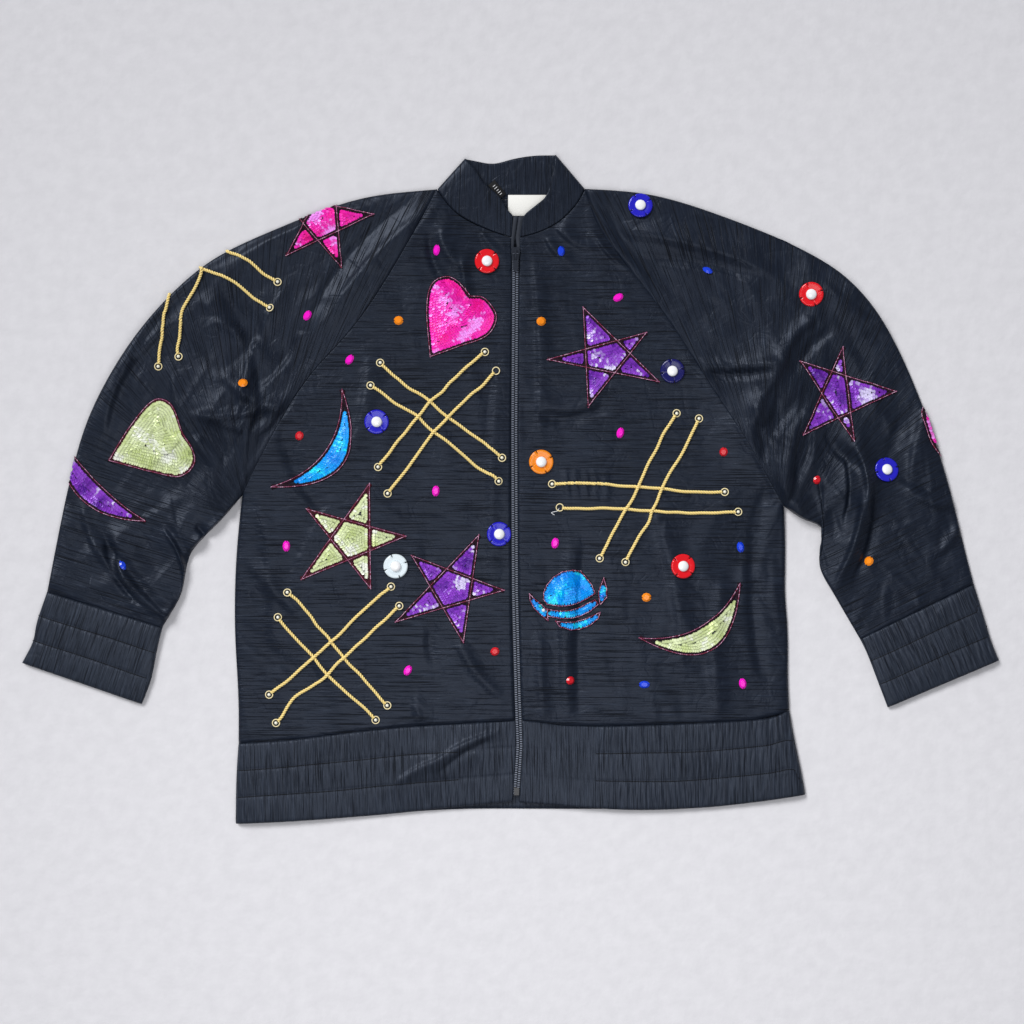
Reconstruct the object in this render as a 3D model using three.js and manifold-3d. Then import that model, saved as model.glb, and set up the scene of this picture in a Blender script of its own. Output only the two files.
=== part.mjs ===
// A zip-front blouson jacket in black slubbed silk, sewn with sequinned shapes, cord lattices and jewels.
// It lies flat on its back with the zip closed. Millimetres: +X towards the wearer's left sleeve,
// +Y towards the collar, +Z up from the surface that it lies on, which is z = 0.
import * as THREE from "three";
import { mergeVertices } from "three/addons/utils/BufferGeometryUtils.js";
import Module from "manifold-3d";

const wasm = await Module();
wasm.setup();

// Cloth and how it lies
const CLOTH = 1.4; // silk with its backing
const SEAM_GAP = 0.4; // between pieces at a seam
const NECK_EASE = 0.7; // how far the fronts, the back and the collar each stand off the curved neck seam
const LOWER = CLOTH / 2; // middle of the layer that lies on the surface
const UPPER = 5.9; // middle of the layer above it, away from folds
const UPPER_LEAST = 3.4; // the upper layer never sinks below this
const EDGE_TURN = 5; // how far in from an edge the cloth takes to turn over
const SEAM_REACH = 200; // rows nearer than this to a curved seam bend with it
const LEAST_REACH = 0.1; // a row's flat stretch starts at least this far in
const LEAST_SQUARE = 0.5; // the most that a slanting row is let off when it moves away from its seam
const PATH_TENSION = 0.5;
const QUARTER_TURN = Math.PI / 2;
const EIGHTH_TURN = Math.PI / 4;

// Zip
const TEETH_WIDTH = 3;
const TEETH_EASE = 0.7; // between the teeth and the edge of a front
const TEETH_TOP = 0.8; // above the middle of the upper layer
const TAPE_WIDTH = 12;
const TAPE = 1;
const ZIP_BOTTOM = -321;
const ZIP_TOP = 286;
const NECK_Y = 264; // where the collar seam meets the zip
const ZIP_CALM = { near: 21, far: 52 }; // no fold reaches nearer to the zip; past far all are full
const SLIDER = { y: 247, length: 13, top: 9.4, bottom: 6.6, crown: 7.5, shoulder: 2, plate: 1.5 };
const BRIDGE = { width: 2, length: 9, clear: 2.2, bar: 1.2, sunk: 0.01 };
const PULL = {
  bar: 1.6, window: 3.6, opening: 7, width: 6, foot: 5.2, length: 19, thick: 1.2, droop: 2,
};
const ZIP_BOX = { width: 5.2, length: 8, height: 1.6, rise: 5 }; // rise: from the tapes' end to its middle

// Sewn-on work
const PATCH = 1.2; // a sequinned patch
const CORD = { width: 3.9, height: 2.4, eyelet: 4.8 };
const EYELET_SIDES = 6;
const ROUND = { radius: 12.6, lip: 12, rim: 2.2, dish: 1.5, pearl: 4.8, pearlTop: 3.8, pearlRise: 2.6 };
const ROUND_SIDES = 12;
const PATCH_LOW = 3.6; // sewn-on work is cut off at this height where it turns under an edge
const PATCH_DEPTH = 80; // how far up the cutters reach, well past every fold
const HEART_STEPS = 7; // points on each half of a heart
const CRESCENT_STEPS = 6;
const GLOBE_STEPS = 16;

// Steps along and across the pieces
const SLEEVE_RINGS = 18;
const RING_SPANS = 10; // across the upper side of a sleeve, between its turned edges
const UNDER_SPANS = 3;
const FRONT_SPANS = 10;
const BACK_SPANS = 8;
const FLANK_ROWS = 7;
const BAND_ROWS = 6;
const BAND_GATHERS = { right: 18, left: 17 };
const CUFF_GATHERS = 8;
const FIRST_GATHER = 3; // columns before this one turn over the edge
const BAND_CALM = 8; // columns left ungathered beside the zip
const GATHER_RISE = 0.9;
const COLLAR_ROWS = 3;
const ZIP_STEPS = { front: 22, collar: 3 };
const CHANNELS = 3; // casings for elastic in the waistband and in each cuff
const CHANNEL_PUFF = 0.7;

// Turns rows of numbers into rows with named columns.
function table(columns, rows) {
  const names = columns.split(" ");
  return rows.map((row) => Object.fromEntries(names.map((name, i) => [name, row[i]])));
}

// Outlines, one row for each point that the shape needs. Right and left are the wearer's.
const SIDES = {
  right: {
    sign: -1,
    overarm: table("x y", [
      [-76.7, 314.5], [-161, 304.5], [-264, 265], [-323, 234], [-388, 168], [-438, 85], [-462, 7],
      [-485, -107],
    ]),
    underarm: table("x y", [
      [-280.4, -6], [-301, -30], [-323, -52], [-336, -69], [-341, -92], [-346, -113], [-364.4, -144.4],
    ]),
    raglan: table("x y", [
      [-76.7, 314.5], [-103, 264], [-135, 211], [-167, 165], [-203, 129], [-235, 82], [-260, 36],
      [-280.4, -6],
    ]),
    flank: table("x y", [
      [-283.7, -266], [-283.4, -210], [-287, -173], [-287.8, -117], [-286, -68], [-280.4, -6],
    ]),
    bandSeam: table("x y", [[-283.7, -266], [-228, -262], [-161, -253.6], [-97, -247.5], [0, -242]]),
    bandEdge: table("x y", [[-286.7, -350], [-286, -303], [-283.7, -266]]),
    hem: table("x y", [[-286.7, -350], [-221.6, -346.8], [-138.6, -340.7], [-76.7, -334.4], [0, -327]]),
    cuffOuter: table("x y", [[-485, -107], [-497, -142], [-498, -156], [-511.2, -181.4]]),
    cuffInner: table("x y", [[-364.4, -144.4], [-371.3, -173], [-376, -199], [-386, -224.4]]),
    neckline: table("x y", [[-76.7, 314.5], [-66, 299], [-50, 285], [-23, 272], [1, 264]]),
    collarTop: table("x y", [
      [-47.3, 346.5], [-38, 337], [-28.4, 321.4], [-9.5, 304.5], [-3.8, 293], [2.6, 286.8],
    ]),
  },
  left: {
    sign: 1,
    overarm: table("x y", [
      [78.8, 315], [151, 309], [238, 281], [316, 247], [367, 210], [409, 144], [450.5, 37], [479, -73],
      [486, -99],
    ]),
    underarm: table("x y", [
      [286.7, -17.3], [306, -31], [326, -38], [330, -52], [324, -72], [327, -88], [341, -112],
      [367.1, -156.5],
    ]),
    raglan: table("x y", [
      [78.8, 315], [92, 272], [112, 247], [146, 205], [170, 173], [197, 129], [241, 62], [286.7, -17.3],
    ]),
    flank: table("x y", [
      [291.9, -231.7], [290, -202], [290.6, -149], [286.7, -109], [287.9, -68], [286.7, -17.3],
    ]),
    bandSeam: table("x y", [[291.9, -231.7], [268, -240], [187.5, -245.2], [75, -248], [12, -242]]),
    bandEdge: table("x y", [[308.5, -319.5], [304.5, -296], [297.2, -264], [291.9, -231.7]]),
    hem: table("x y", [[308.5, -319.5], [262, -326.5], [200.6, -333], [120.5, -335], [12, -327.5]]),
    cuffOuter: table("x y", [[486, -99], [498, -138], [503, -156], [512.2, -178.6]]),
    cuffInner: table("x y", [[367.1, -156.5], [374, -170], [382, -191], [396, -228]]),
    neckline: table("x y", [[78.8, 315], [70, 299], [52, 281], [31, 270], [9.4, 264]]),
    collarTop: table("x y", [[48.3, 350.2], [45, 333], [39, 308], [27.3, 297.2], [14.6, 287]]),
  },
};
const CENTRE_FRONT = table("x y", [
  [6, -327], [10, -269], [8.1, -216], [5.3, -108], [4.6, 60], [5.8, 247], [5.3, 264], [8.8, 287],
]);
const ZIP_PARTING = table("y apart", [[-327, 0.15], [247, 0.15], [256, 1.8], [264, 0.9], [287, 2.5]]);
const BACK_NECKLINE = table("x y", [[-76.7, 314.5], [-40, 306], [2, 304], [42, 306], [78.8, 315]]);
const COLLAR_BACK_TOP = table("x y", [
  [-47.3, 346.5], [-29, 342.8], [-16, 340.7], [-2, 345.3], [24, 349.9], [48.3, 350.2],
]);
const COLLAR_LIFT = 2.6; // how far its front top edge springs up from the neckline
const COLLAR_END_LIFTS = [0.4, 0.8]; // shares of that lift at its fold on the shoulder

// The largest folds of the upper layer, from one end to the other: ridges, and troughs where rise is below 0.
const FOLDS = table("x1 y1 x2 y2 width rise", [
  [-326, 76, -279, 61, 13, 9], // right sleeve, over the underarm
  [-322, 193, -277, 176, 15, 5],
  [-277, 176, -246, 128, 16, -3],
  [-300, 118, -232, 78, 16, 7],
  [-262, 110, -226, 160, 17, 4],
  [-270, 20, -330, 120, 20, 6],
  [-420, 160, -330, 215, 22, 4],
  [-412, -58, -356, -134, 13, 5],
  [-420, 38, -418, -15, 15, -3],
  [-350, -48, -300, -8, 15, 6],
  [-360, -42, -385, -20, 14, 4],
  [-440, 60, -400, 150, 24, 4],
  [-90, 290, -190, 180, 20, 4],
  [105, 285, 165, 215, 20, -3], // left shoulder
  [120, 268, 262, 232, 24, 5],
  [150, 240, 250, 225, 18, -3],
  [197, 129, 284, 131, 12, 9], // left sleeve, in front of the underarm
  [312, 190, 284, 131, 15, 7],
  [284, 131, 252, 52, 15, 8],
  [252, 52, 300, -10, 16, 8],
  [360, 45, 372, -15, 14, 8],
  [372, -15, 344, -96, 14, 6],
  [366, 12, 306, -24, 14, 6],
  [408, 0, 462, -20, 14, 4],
  [419, 80, 398, 44, 13, -3],
  [395, 170, 330, 215, 22, 4],
  [48, 60, 42, -230, 22, -2.6], // left front
  [268, 0, 252, -70, 18, -2.6],
  [42, 84, 95, 95, 14, -2.4],
  [110, -60, 130, -220, 26, 2.2],
  [200, -120, 215, -225, 24, 2],
  [-286, -143, -206, -200, 16, -2.4], // right front
  [-54, -163, -14, -215, 14, 3],
  [-85, -146, -83, -180, 14, -2.2],
  [-74, 270, -52, 232, 14, 3],
  [-155, 100, -150, -60, 26, 2.2],
  [-230, -10, -240, -110, 24, 2.4],
  [-18, -255, -76, -283, 12, 4], // right end of the waistband
  [-76, -283, -118, -306, 14, 3],
]);
const SWELLS = table("x y rise", [[47, 61, 0.8], [-83, 37, 0.7], [29, -113, 0.4]]); // wavelengths over 2 pi

// Sewn-on shapes. A star's tips run anticlockwise. Its sides run straight from each tip to the next but one.
const STARS = table("name panel colour tips", [
  [
    "star_violet_chest", "front_left", 0x7a2fb0,
    [[76.7, 190.6], [39.4, 136], [81.9, 86.6], [156, 112.9], [142.8, 164.3]],
  ],
  [
    "star_violet_hip", "front_right", 0x7a2fb0,
    [[-32.6, -47.8], [-102.9, -69.3], [-119.7, -138.6], [-48.8, -160.1], [-6.3, -105.5]],
  ],
  [
    "star_lime", "front_right", 0xd3dd8c,
    [[-147, 5.8], [-212.6, -20.5], [-218.4, -94], [-146, -103.4], [-109.2, -48.8]],
  ],
  [
    "star_violet_sleeve", "sleeve_left", 0x7a2fb0,
    [[348.5, 149.1], [304.2, 133.9], [306.6, 57.2], [359.9, 50.6], [404.5, 102.9]],
  ],
  [
    "star_pink_shoulder", "sleeve_right", 0xff2fa0,
    [[-184.8, 334.4], [-242.6, 308.2], [-234.2, 245.2], [-176.4, 232.6], [-142.8, 288.2]],
  ],
]);
// A heart's outline runs from its point up one side to its notch and down the other.
const HEARTS = table("name panel colour up down", [
  [
    "heart_pink", "front_right", 0xff2fa0,
    [[-83.5, 139.1], [-87.2, 186.4], [-82.4, 213.7], [-66.7, 223.1], [-51.5, 215.3], [-42, 202.7]],
    [[-42, 202.7], [-26.3, 200], [-14.2, 181.1], [-24.2, 161.2], [-52.5, 150.2], [-83.5, 139.1]],
  ],
  [
    "heart_lime", "sleeve_right", 0xd3dd8c,
    [[-420.5, 30.5], [-399, 64.6], [-378, 89.8], [-364.4, 94.5], [-350.7, 84.5], [-341.8, 58.3]],
    [[-341.8, 58.3], [-332.3, 43.6], [-330.8, 26.8], [-346.5, 13.7], [-378, 19.4], [-420.5, 30.5]],
  ],
  [
    "heart_pink_elbow", "sleeve_left", 0xff2f80,
    [[452.6, 32], [441, 48.8], [435.8, 62.5], [431.6, 79.3], [437.9, 91.9], [459.9, 81.4]],
    [[459.9, 81.4], [474.6, 81.4], [478.8, 64.6], [467.3, 45.7], [452.6, 32]],
  ],
]);
// A crescent lies between two arcs from tip to tip. bulge and hollow are how far each bows from straight.
const CRESCENTS = table("name x1 y1 x2 y2 bulge hollow panel colour", [
  ["crescent_blue", -175.8, 104.7, -250, 2.6, 47, 24, "front_right", 0x1593e0],
  ["crescent_lime", 135.5, -155.4, 241, -98.2, -47, -20, "front_left", 0xd3dd8c],
  ["crescent_violet", -381.2, -33.1, -472.5, 60.4, 32.5, 8.4, "sleeve_right", 0x7a2fb0],
]);
// The planet is a globe, pressed in at its upper right, between the two horns of its ring.
const PLANET = {
  panel: "front_left",
  colour: 0x1593e0,
  globe: table("x y", [
    [96.6, -121.5], [91.4, -107.6], [79.8, -91.9], [65.6, -84.5], [46, -91.3], [35.5, -106.7], [35.2, -124],
    [46, -140.7], [65.6, -147.5], [85, -140.8],
  ]),
  horns: [
    [
      [20.5, -109.7], [21, -116], [25.2, -124.4], [31.5, -130.7], [39.9, -137], [46, -130], [36.8, -123.4],
      [26.3, -115],
    ],
    [[98.2, -92.9], [94.5, -102.4], [92.4, -107.6], [90, -116], [90, -124], [101.3, -112.9], [101.3, -103.4]],
  ],
};
// Lattices of couched cord, each cord from one eyelet to the other. overEdge: the last eyelet is out of
// sight, round the edge of the sleeve.
const LATTICES = {
  lattice_chest: {
    panel: "front_right",
    cords: [
      [[-136, 132.6], [-94.5, 100], [-53, 67.3], [-8.4, 33.1]],
      [[-146, 108.7], [-121.8, 90.8], [-91, 70.2], [-12.1, 8.7]],
      [[-26.2, 144], [-62, 112.9], [-106.1, 64.2], [-137.9, 23.4]],
      [[-14.4, 124.2], [-54.6, 86.2], [-93.5, 41.9], [-128.1, -4.3]],
    ],
  },
  lattice_hip: {
    panel: "front_right",
    cords: [
      [[-232.9, -108], [-210.2, -130.7], [-128.3, -226.1]],
      [[-243.1, -133.7], [-205.9, -175.2], [-190.9, -193.7], [-140.7, -241.4]],
      [[-124.6, -101.7], [-176.5, -149.6], [-252.2, -214.9]],
      [
        [-115.7, -121.9], [-174, -175.9], [-199.5, -201.7], [-222.4, -215.2], [-235.2, -231],
        [-244.9, -244.5],
      ],
    ],
  },
  lattice_left: {
    panel: "front_left",
    cords: [
      [[44.1, 5.8], [90.3, 6.3], [158.9, 0.9], [225, -2.7]],
      [[52.2, -18.8], [104, -19.7], [200, -24.9], [239, -23.4]],
      [[174.5, 79.8], [144.1, 25.5], [93.9, -72.1]],
      [[198, 74.3], [158.9, 1.2], [145.2, -35.2], [120.8, -75.9]],
    ],
  },
  lattice_sleeve: {
    panel: "sleeve_right",
    cords: [
      [[-250.6, 189.8], [-268.4, 200], [-291.2, 218.5], [-324.5, 231.5]],
      [[-346.5, 138.9], [-342.6, 187.1], [-321.8, 233.5]],
    ],
    overEdge: true,
  },
  cord_sleeve_upper: {
    panel: "sleeve_right",
    cords: [[[-243.3, 217.1], [-263, 230.5], [-300, 250.5]]],
    overEdge: true,
  },
  cord_sleeve_lower: {
    panel: "sleeve_right",
    cords: [[[-368, 128.8], [-362.7, 173.8], [-355.5, 206]]],
    overEdge: true,
  },
};
const ROUNDS = table("name x y panel colour", [
  ["round_blue_shoulder", 136.5, 297, "sleeve_left", 0x2a2ad8],
  ["round_red_neck", -24.2, 238.9, "front_right", 0xe8232b],
  ["round_red_sleeve", 315, 204.2, "sleeve_left", 0xe8232b],
  ["round_navy", 170.1, 124, "front_left", 0x14146e],
  ["round_blue_chest", -139.7, 70.9, "front_right", 0x2a2ad8],
  ["round_orange", 32.6, 28.9, "front_left", 0xf28a1a],
  ["round_blue_elbow", 393.8, 20.5, "sleeve_left", 0x2a2ad8],
  ["round_blue_zip", -11.6, -46.7, "front_right", 0x2a2ad8],
  ["round_white", -119.7, -80.3, "front_right", 0xdfe9ec],
  ["round_red_hip", 180.6, -80.3, "front_left", 0xe8232b],
]);
const NECK_LABEL = { x: 19, y: 298, width: 42, depth: 22, corner: 5, thick: 0.8 };
const SIZE_TAG = { x: -13.5, y: 314.5, width: 9, depth: 19, thick: 1.6, turn: 40 };

const SILK = 0x16181d;

// A smooth path through a table's rows, walked by the share of its length.
function path(rows) {
  return new THREE.CatmullRomCurve3(
    rows.map((row) => new THREE.Vector3(row.x, row.y, 0)),
    false,
    "catmullrom",
    PATH_TENSION,
  );
}

function smoothStep(from, to, value) {
  const share = THREE.MathUtils.clamp((value - from) / (to - from), 0, 1);
  return share * share * (3 - 2 * share);
}

// A table's second column at a value of its first, joined by straight stretches.
function lookUp(rows, key, column, value) {
  let next = rows.findIndex((row) => row[key] >= value);
  next = next < 1 ? (next === 0 ? 1 : rows.length - 1) : next;
  const [a, b] = [rows[next - 1], rows[next]];
  return THREE.MathUtils.mapLinear(value, a[key], b[key], a[column], b[column]);
}

const centreFront = path(CENTRE_FRONT);
const CENTRE_SAMPLES = centreFront.getPoints(160).map((p) => ({ x: p.x, y: p.y }));

function centreX(y) {
  return lookUp(CENTRE_SAMPLES, "y", "x", y);
}

// Where a side's row of zip teeth has its inner face.
function teethX(side, y) {
  return centreX(y) + SIDES[side].sign * lookUp(ZIP_PARTING, "y", "apart", y);
}

// Where a front, a collar end or a waistband end stops beside the teeth.
function openingX(side, y) {
  return teethX(side, y) + SIDES[side].sign * (TEETH_WIDTH + TEETH_EASE);
}

// How high one fold lifts the cloth at a point: a bell across it that fades out at both ends.
function foldRise(fold, x, y) {
  const [dx, dy] = [fold.x2 - fold.x1, fold.y2 - fold.y1];
  const length = Math.hypot(dx, dy);
  const along = ((x - fold.x1) * dx + (y - fold.y1) * dy) / length;
  const across = ((x - fold.x1) * dy - (y - fold.y1) * dx) / length;
  const past = Math.max(0, -along, along - length);
  return fold.rise * Math.exp(-(across * across + past * past) / (fold.width * fold.width));
}

// The height of the middle of the upper layer.
function upperHeight(x, y) {
  let rise = 0;
  for (const swell of SWELLS) rise += swell.rise * Math.sin(x / swell.x + y / swell.y);
  for (const fold of FOLDS) rise += foldRise(fold, x, y);
  const calm = smoothStep(ZIP_CALM.near, ZIP_CALM.far, Math.abs(x - centreX(y)));
  return Math.max(UPPER_LEAST, UPPER + rise * calm);
}

// A point of cloth holds its middle, p, and its outward direction, n.
function upperPoint(x, y) {
  const step = 1;
  const slopeX = (upperHeight(x + step, y) - upperHeight(x - step, y)) / (2 * step);
  const slopeY = (upperHeight(x, y + step) - upperHeight(x, y - step)) / (2 * step);
  return {
    p: new THREE.Vector3(x, y, upperHeight(x, y)),
    n: new THREE.Vector3(-slopeX, -slopeY, 1).normalize(),
  };
}

function lowerPoint(x, y) {
  return { p: new THREE.Vector3(x, y, LOWER), n: new THREE.Vector3(0, 0, -1) };
}

// A point where the cloth turns over at an edge. inward points into the piece; angle runs from a quarter turn
// where the upper layer begins, through 0 at the outermost point, to minus a quarter turn on the lower layer.
function turnPoint(edge, inward, angle) {
  const inner = edge.clone().addScaledVector(inward, EDGE_TURN);
  const upper = upperHeight(inner.x, inner.y);
  const p = edge.clone().addScaledVector(inward, EDGE_TURN * (1 - Math.cos(angle)));
  p.z = (upper + LOWER) / 2 + ((upper - LOWER) / 2) * Math.sin(angle);
  const n = inward.clone().multiplyScalar(-Math.cos(angle));
  n.z = Math.sin(angle);
  return { p, n: n.normalize() };
}

// The points across the upper or the lower layer, from one turned edge to the other, with both outermost
// points. line(share) gives a place in plan.
function acrossLayer(line, spans, upper) {
  const length = line(0).distanceTo(line(1));
  const turnShare = EDGE_TURN / length;
  const start = line(0);
  const end = line(1);
  const inward = line(turnShare).sub(start).normalize();
  const back = line(1 - turnShare).sub(end).normalize();
  const angle = upper ? 1 : -1;
  const points = [turnPoint(start, inward, 0), turnPoint(start, inward, angle * EIGHTH_TURN)];
  for (let i = 0; i <= spans; i++) {
    const place = line(THREE.MathUtils.lerp(turnShare, 1 - turnShare, i / spans));
    points.push(upper ? upperPoint(place.x, place.y) : lowerPoint(place.x, place.y));
  }
  points.push(turnPoint(end, back, angle * EIGHTH_TURN), turnPoint(end, back, 0));
  return points;
}

// Moves a row of cloth points away from a seam, towards the next row of its own piece.
function leaveSeam(row, next, gap = SEAM_GAP / 2) {
  return row.map((point, i) => {
    const before = row[Math.max(i - 1, 0)].p;
    const after = row[Math.min(i + 1, row.length - 1)].p;
    const along = after.clone().sub(before).normalize();
    const onward = next[i].p.clone().sub(point.p).normalize();
    const square = Math.max(LEAST_SQUARE, onward.clone().cross(along).length());
    return { p: point.p.clone().addScaledVector(onward, gap / square), n: point.n };
  });
}

function raised(point, height) {
  return { p: point.p.clone().addScaledVector(point.n, height), n: point.n };
}

// A closed wall on a grid of cloth points. loop joins each row's last point to its first.
// lift(row, column) raises the outer face alone, over a plain inside.
function wall(grid, thickness, { loop = false, lift = () => 0 } = {}) {
  const [rows, columns] = [grid.length, grid[0].length];
  const positions = [];
  for (const side of [1, -1]) {
    grid.forEach((row, i) =>
      row.forEach(({ p, n }, j) => {
        const out = side * (thickness / 2) + (side > 0 ? lift(i, j) : 0);
        positions.push(p.x + n.x * out, p.y + n.y * out, p.z + n.z * out);
      }),
    );
  }
  const inner = rows * columns;
  const index = [];
  const quad = (a, b, c, d) => index.push(a, b, c, a, c, d);
  const lastColumn = loop ? columns : columns - 1;
  for (let i = 0; i < rows - 1; i++) {
    for (let j = 0; j < lastColumn; j++) {
      const [a, b] = [i * columns + j, i * columns + ((j + 1) % columns)];
      quad(a, b, b + columns, a + columns);
      quad(inner + a, inner + a + columns, inner + b + columns, inner + b);
    }
  }
  for (let j = 0; j < lastColumn; j++) {
    const next = (j + 1) % columns;
    const top = (rows - 1) * columns;
    quad(j, inner + j, inner + next, next);
    quad(top + j, top + next, inner + top + next, inner + top + j);
  }
  for (let i = 0; i < rows - 1 && !loop; i++) {
    const [a, b] = [i * columns, (i + 1) * columns];
    const last = columns - 1;
    quad(a, b, inner + b, inner + a);
    quad(a + last, inner + a + last, inner + b + last, b + last);
  }
  const geometry = new THREE.BufferGeometry();
  geometry.setAttribute("position", new THREE.Float32BufferAttribute(positions, 3));
  geometry.setIndex(index);
  return facingOut(geometry);
}

// Turns every face round where the solid is inside out.
function facingOut(geometry) {
  const position = geometry.getAttribute("position");
  const index = geometry.getIndex().array;
  const corner = (k) => new THREE.Vector3().fromBufferAttribute(position, index[k]);
  let volume = 0;
  for (let k = 0; k < index.length; k += 3) volume += corner(k).dot(corner(k + 1).cross(corner(k + 2)));
  if (volume < 0) {
    for (let k = 0; k < index.length; k += 3) [index[k + 1], index[k + 2]] = [index[k + 2], index[k + 1]];
  }
  return geometry;
}

// The manifold-3d solid of a closed geometry, and back.
function solidOf(geometry) {
  const bare = geometry.clone();
  bare.deleteAttribute("normal");
  bare.deleteAttribute("uv");
  const merged = mergeVertices(bare, 1e-3);
  return new wasm.Manifold(
    new wasm.Mesh({
      numProp: 3,
      vertProperties: merged.attributes.position.array,
      triVerts: new Uint32Array(merged.index.array),
    }),
  );
}

function geometryOf(solid) {
  const mesh = solid.getMesh();
  const positions = new Float32Array(mesh.numVert * 3);
  for (let i = 0; i < mesh.numVert; i++) {
    positions.set(mesh.vertProperties.subarray(i * mesh.numProp, i * mesh.numProp + 3), i * 3);
  }
  const geometry = new THREE.BufferGeometry();
  geometry.setAttribute("position", new THREE.BufferAttribute(positions, 3));
  geometry.setIndex(new THREE.BufferAttribute(mesh.triVerts, 1));
  return geometry;
}

function largestBody(solid) {
  return solid.decompose().reduce((best, body) => (body.volume() > best.volume() ? body : best));
}

// The line in plan that a sleeve's ring follows, from the overarm edge to the underarm edge. It leaves the
// raglan seam's curve and straightens out towards the cuff.
function sleeveLine(side, share) {
  const { overarm, underarm, raglan } = SIDES[side].paths;
  const [over, under] = [overarm.getPointAt(share), underarm.getPointAt(share)];
  const [neck, armpit] = [raglan.getPointAt(0), raglan.getPointAt(1)];
  const hold = (1 - share) ** 3;
  return (across) => {
    const bow = raglan.getPointAt(across).sub(neck.clone().lerp(armpit, across));
    return over.clone().lerp(under, across).addScaledVector(bow, hold);
  };
}

function sleeveRing(side, share) {
  const line = sleeveLine(side, share);
  const upper = acrossLayer(line, RING_SPANS, true);
  const lower = acrossLayer((across) => line(1 - across), UNDER_SPANS, false);
  return [...upper, ...lower.slice(1, -1)];
}

// The sleeve: rings from the raglan seam to the cuff seam, all round the arm.
function sleeveGrid(side) {
  const rings = [];
  for (let i = 0; i <= SLEEVE_RINGS; i++) rings.push(sleeveRing(side, i / SLEEVE_RINGS));
  rings[0] = leaveSeam(rings[0], rings[1]);
  rings[SLEEVE_RINGS] = leaveSeam(rings[SLEEVE_RINGS], rings[SLEEVE_RINGS - 1]);
  return rings;
}

// The body's side of the raglan seam, from the underarm to the neck, on the upper or the lower layer.
function raglanEdge(side, upper) {
  const line = sleeveLine(side, 0);
  const spans = upper ? RING_SPANS : UNDER_SPANS;
  const seam = acrossLayer((across) => line(1 - across), spans, upper);
  const beyond = acrossLayer((across) => sleeveLine(side, 1 / SLEEVE_RINGS)(1 - across), spans, upper);
  const apart = leaveSeam(seam, beyond, -SEAM_GAP / 2);
  const turned = [0, EIGHTH_TURN, ...seam.slice(2, -2).map(() => QUARTER_TURN), EIGHTH_TURN, 0];
  return apart.map((point, i) => ({ place: point.p.clone().setZ(0), angle: turned[i], point }));
}

// The line in plan that a row follows between two places, bent towards each of the given curves by its hold.
function rowLine(first, last, bends) {
  return (share) => {
    const place = first.clone().lerp(last, share);
    for (const { seam, hold } of bends) {
      if (hold <= 0) continue;
      const bow = seam.getPointAt(share).sub(seam.getPointAt(0).lerp(seam.getPointAt(1), share));
      place.addScaledVector(bow, hold * hold);
    }
    return place;
  };
}

// The first points of a row at an edge, up to where the cloth lies flat, and the share of the line there.
function rowStart(edge, line, length, upper) {
  const flatPoint = upper ? upperPoint : lowerPoint;
  const inward = line(EDGE_TURN / length).sub(line(0)).normalize();
  const reach = EDGE_TURN * Math.cos(edge.angle);
  if (edge.angle > EIGHTH_TURN) {
    const place = line(EDGE_TURN / 2 / length);
    return { points: [edge.point, flatPoint(place.x, place.y)], flatFrom: EDGE_TURN / length };
  }
  const silhouette = line(0).addScaledVector(inward, reach - EDGE_TURN);
  const angle = ((upper ? 1 : -1) * (edge.angle + QUARTER_TURN)) / 2;
  const points = [edge.point, turnPoint(silhouette, inward, angle)];
  return { points, flatFrom: Math.max(reach, LEAST_REACH) / length };
}

// A row across the upper layer from a piece's outer edge to the opening beside the teeth.
function upperRow(edge, end, spans, bends) {
  const line = rowLine(edge.place, end, bends);
  const { points, flatFrom } = rowStart(edge, line, edge.place.distanceTo(end), true);
  for (let i = 0; i <= spans; i++) {
    const place = line(THREE.MathUtils.lerp(flatFrom, 1, i / spans));
    points.push(upperPoint(place.x, place.y));
  }
  return points;
}

// A row across the lower layer, from the right edge to the left one.
function lowerRow(right, left, bends) {
  const line = rowLine(right.place, left.place, bends);
  const length = right.place.distanceTo(left.place);
  const start = rowStart(right, line, length, false);
  const finish = rowStart(left, (share) => line(1 - share), length, false);
  const points = start.points;
  for (let i = 0; i <= BACK_SPANS; i++) {
    const place = line(THREE.MathUtils.lerp(start.flatFrom, 1 - finish.flatFrom, i / BACK_SPANS));
    points.push(lowerPoint(place.x, place.y));
  }
  return [...points, ...finish.points.reverse()];
}

// Points up a side edge, where the upper and the lower layer meet, for one of the two layers.
function sideEdge(side, curve, steps, upper) {
  const inward = new THREE.Vector3(-SIDES[side].sign, 0, 0);
  return Array.from({ length: steps }, (_, i) => {
    const place = curve.getPointAt(i / FLANK_ROWS);
    return edgePoint(place, inward, upper);
  });
}

function edgePoint(place, inward, upper) {
  const { p, n } = turnPoint(place, inward, 0);
  p.z += ((upper ? 1 : -1) * SEAM_GAP) / 2;
  return { place, angle: 0, point: { p, n } };
}

// The outer edge of a front or of one half of the back, from the waistband seam up the flank and along the
// raglan seam to the neck. Each point has its place in plan, the angle of the turned edge and its cloth.
function bodyEdge(side, upper) {
  return [...sideEdge(side, SIDES[side].paths.flank, FLANK_ROWS, upper), ...raglanEdge(side, upper)];
}

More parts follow.
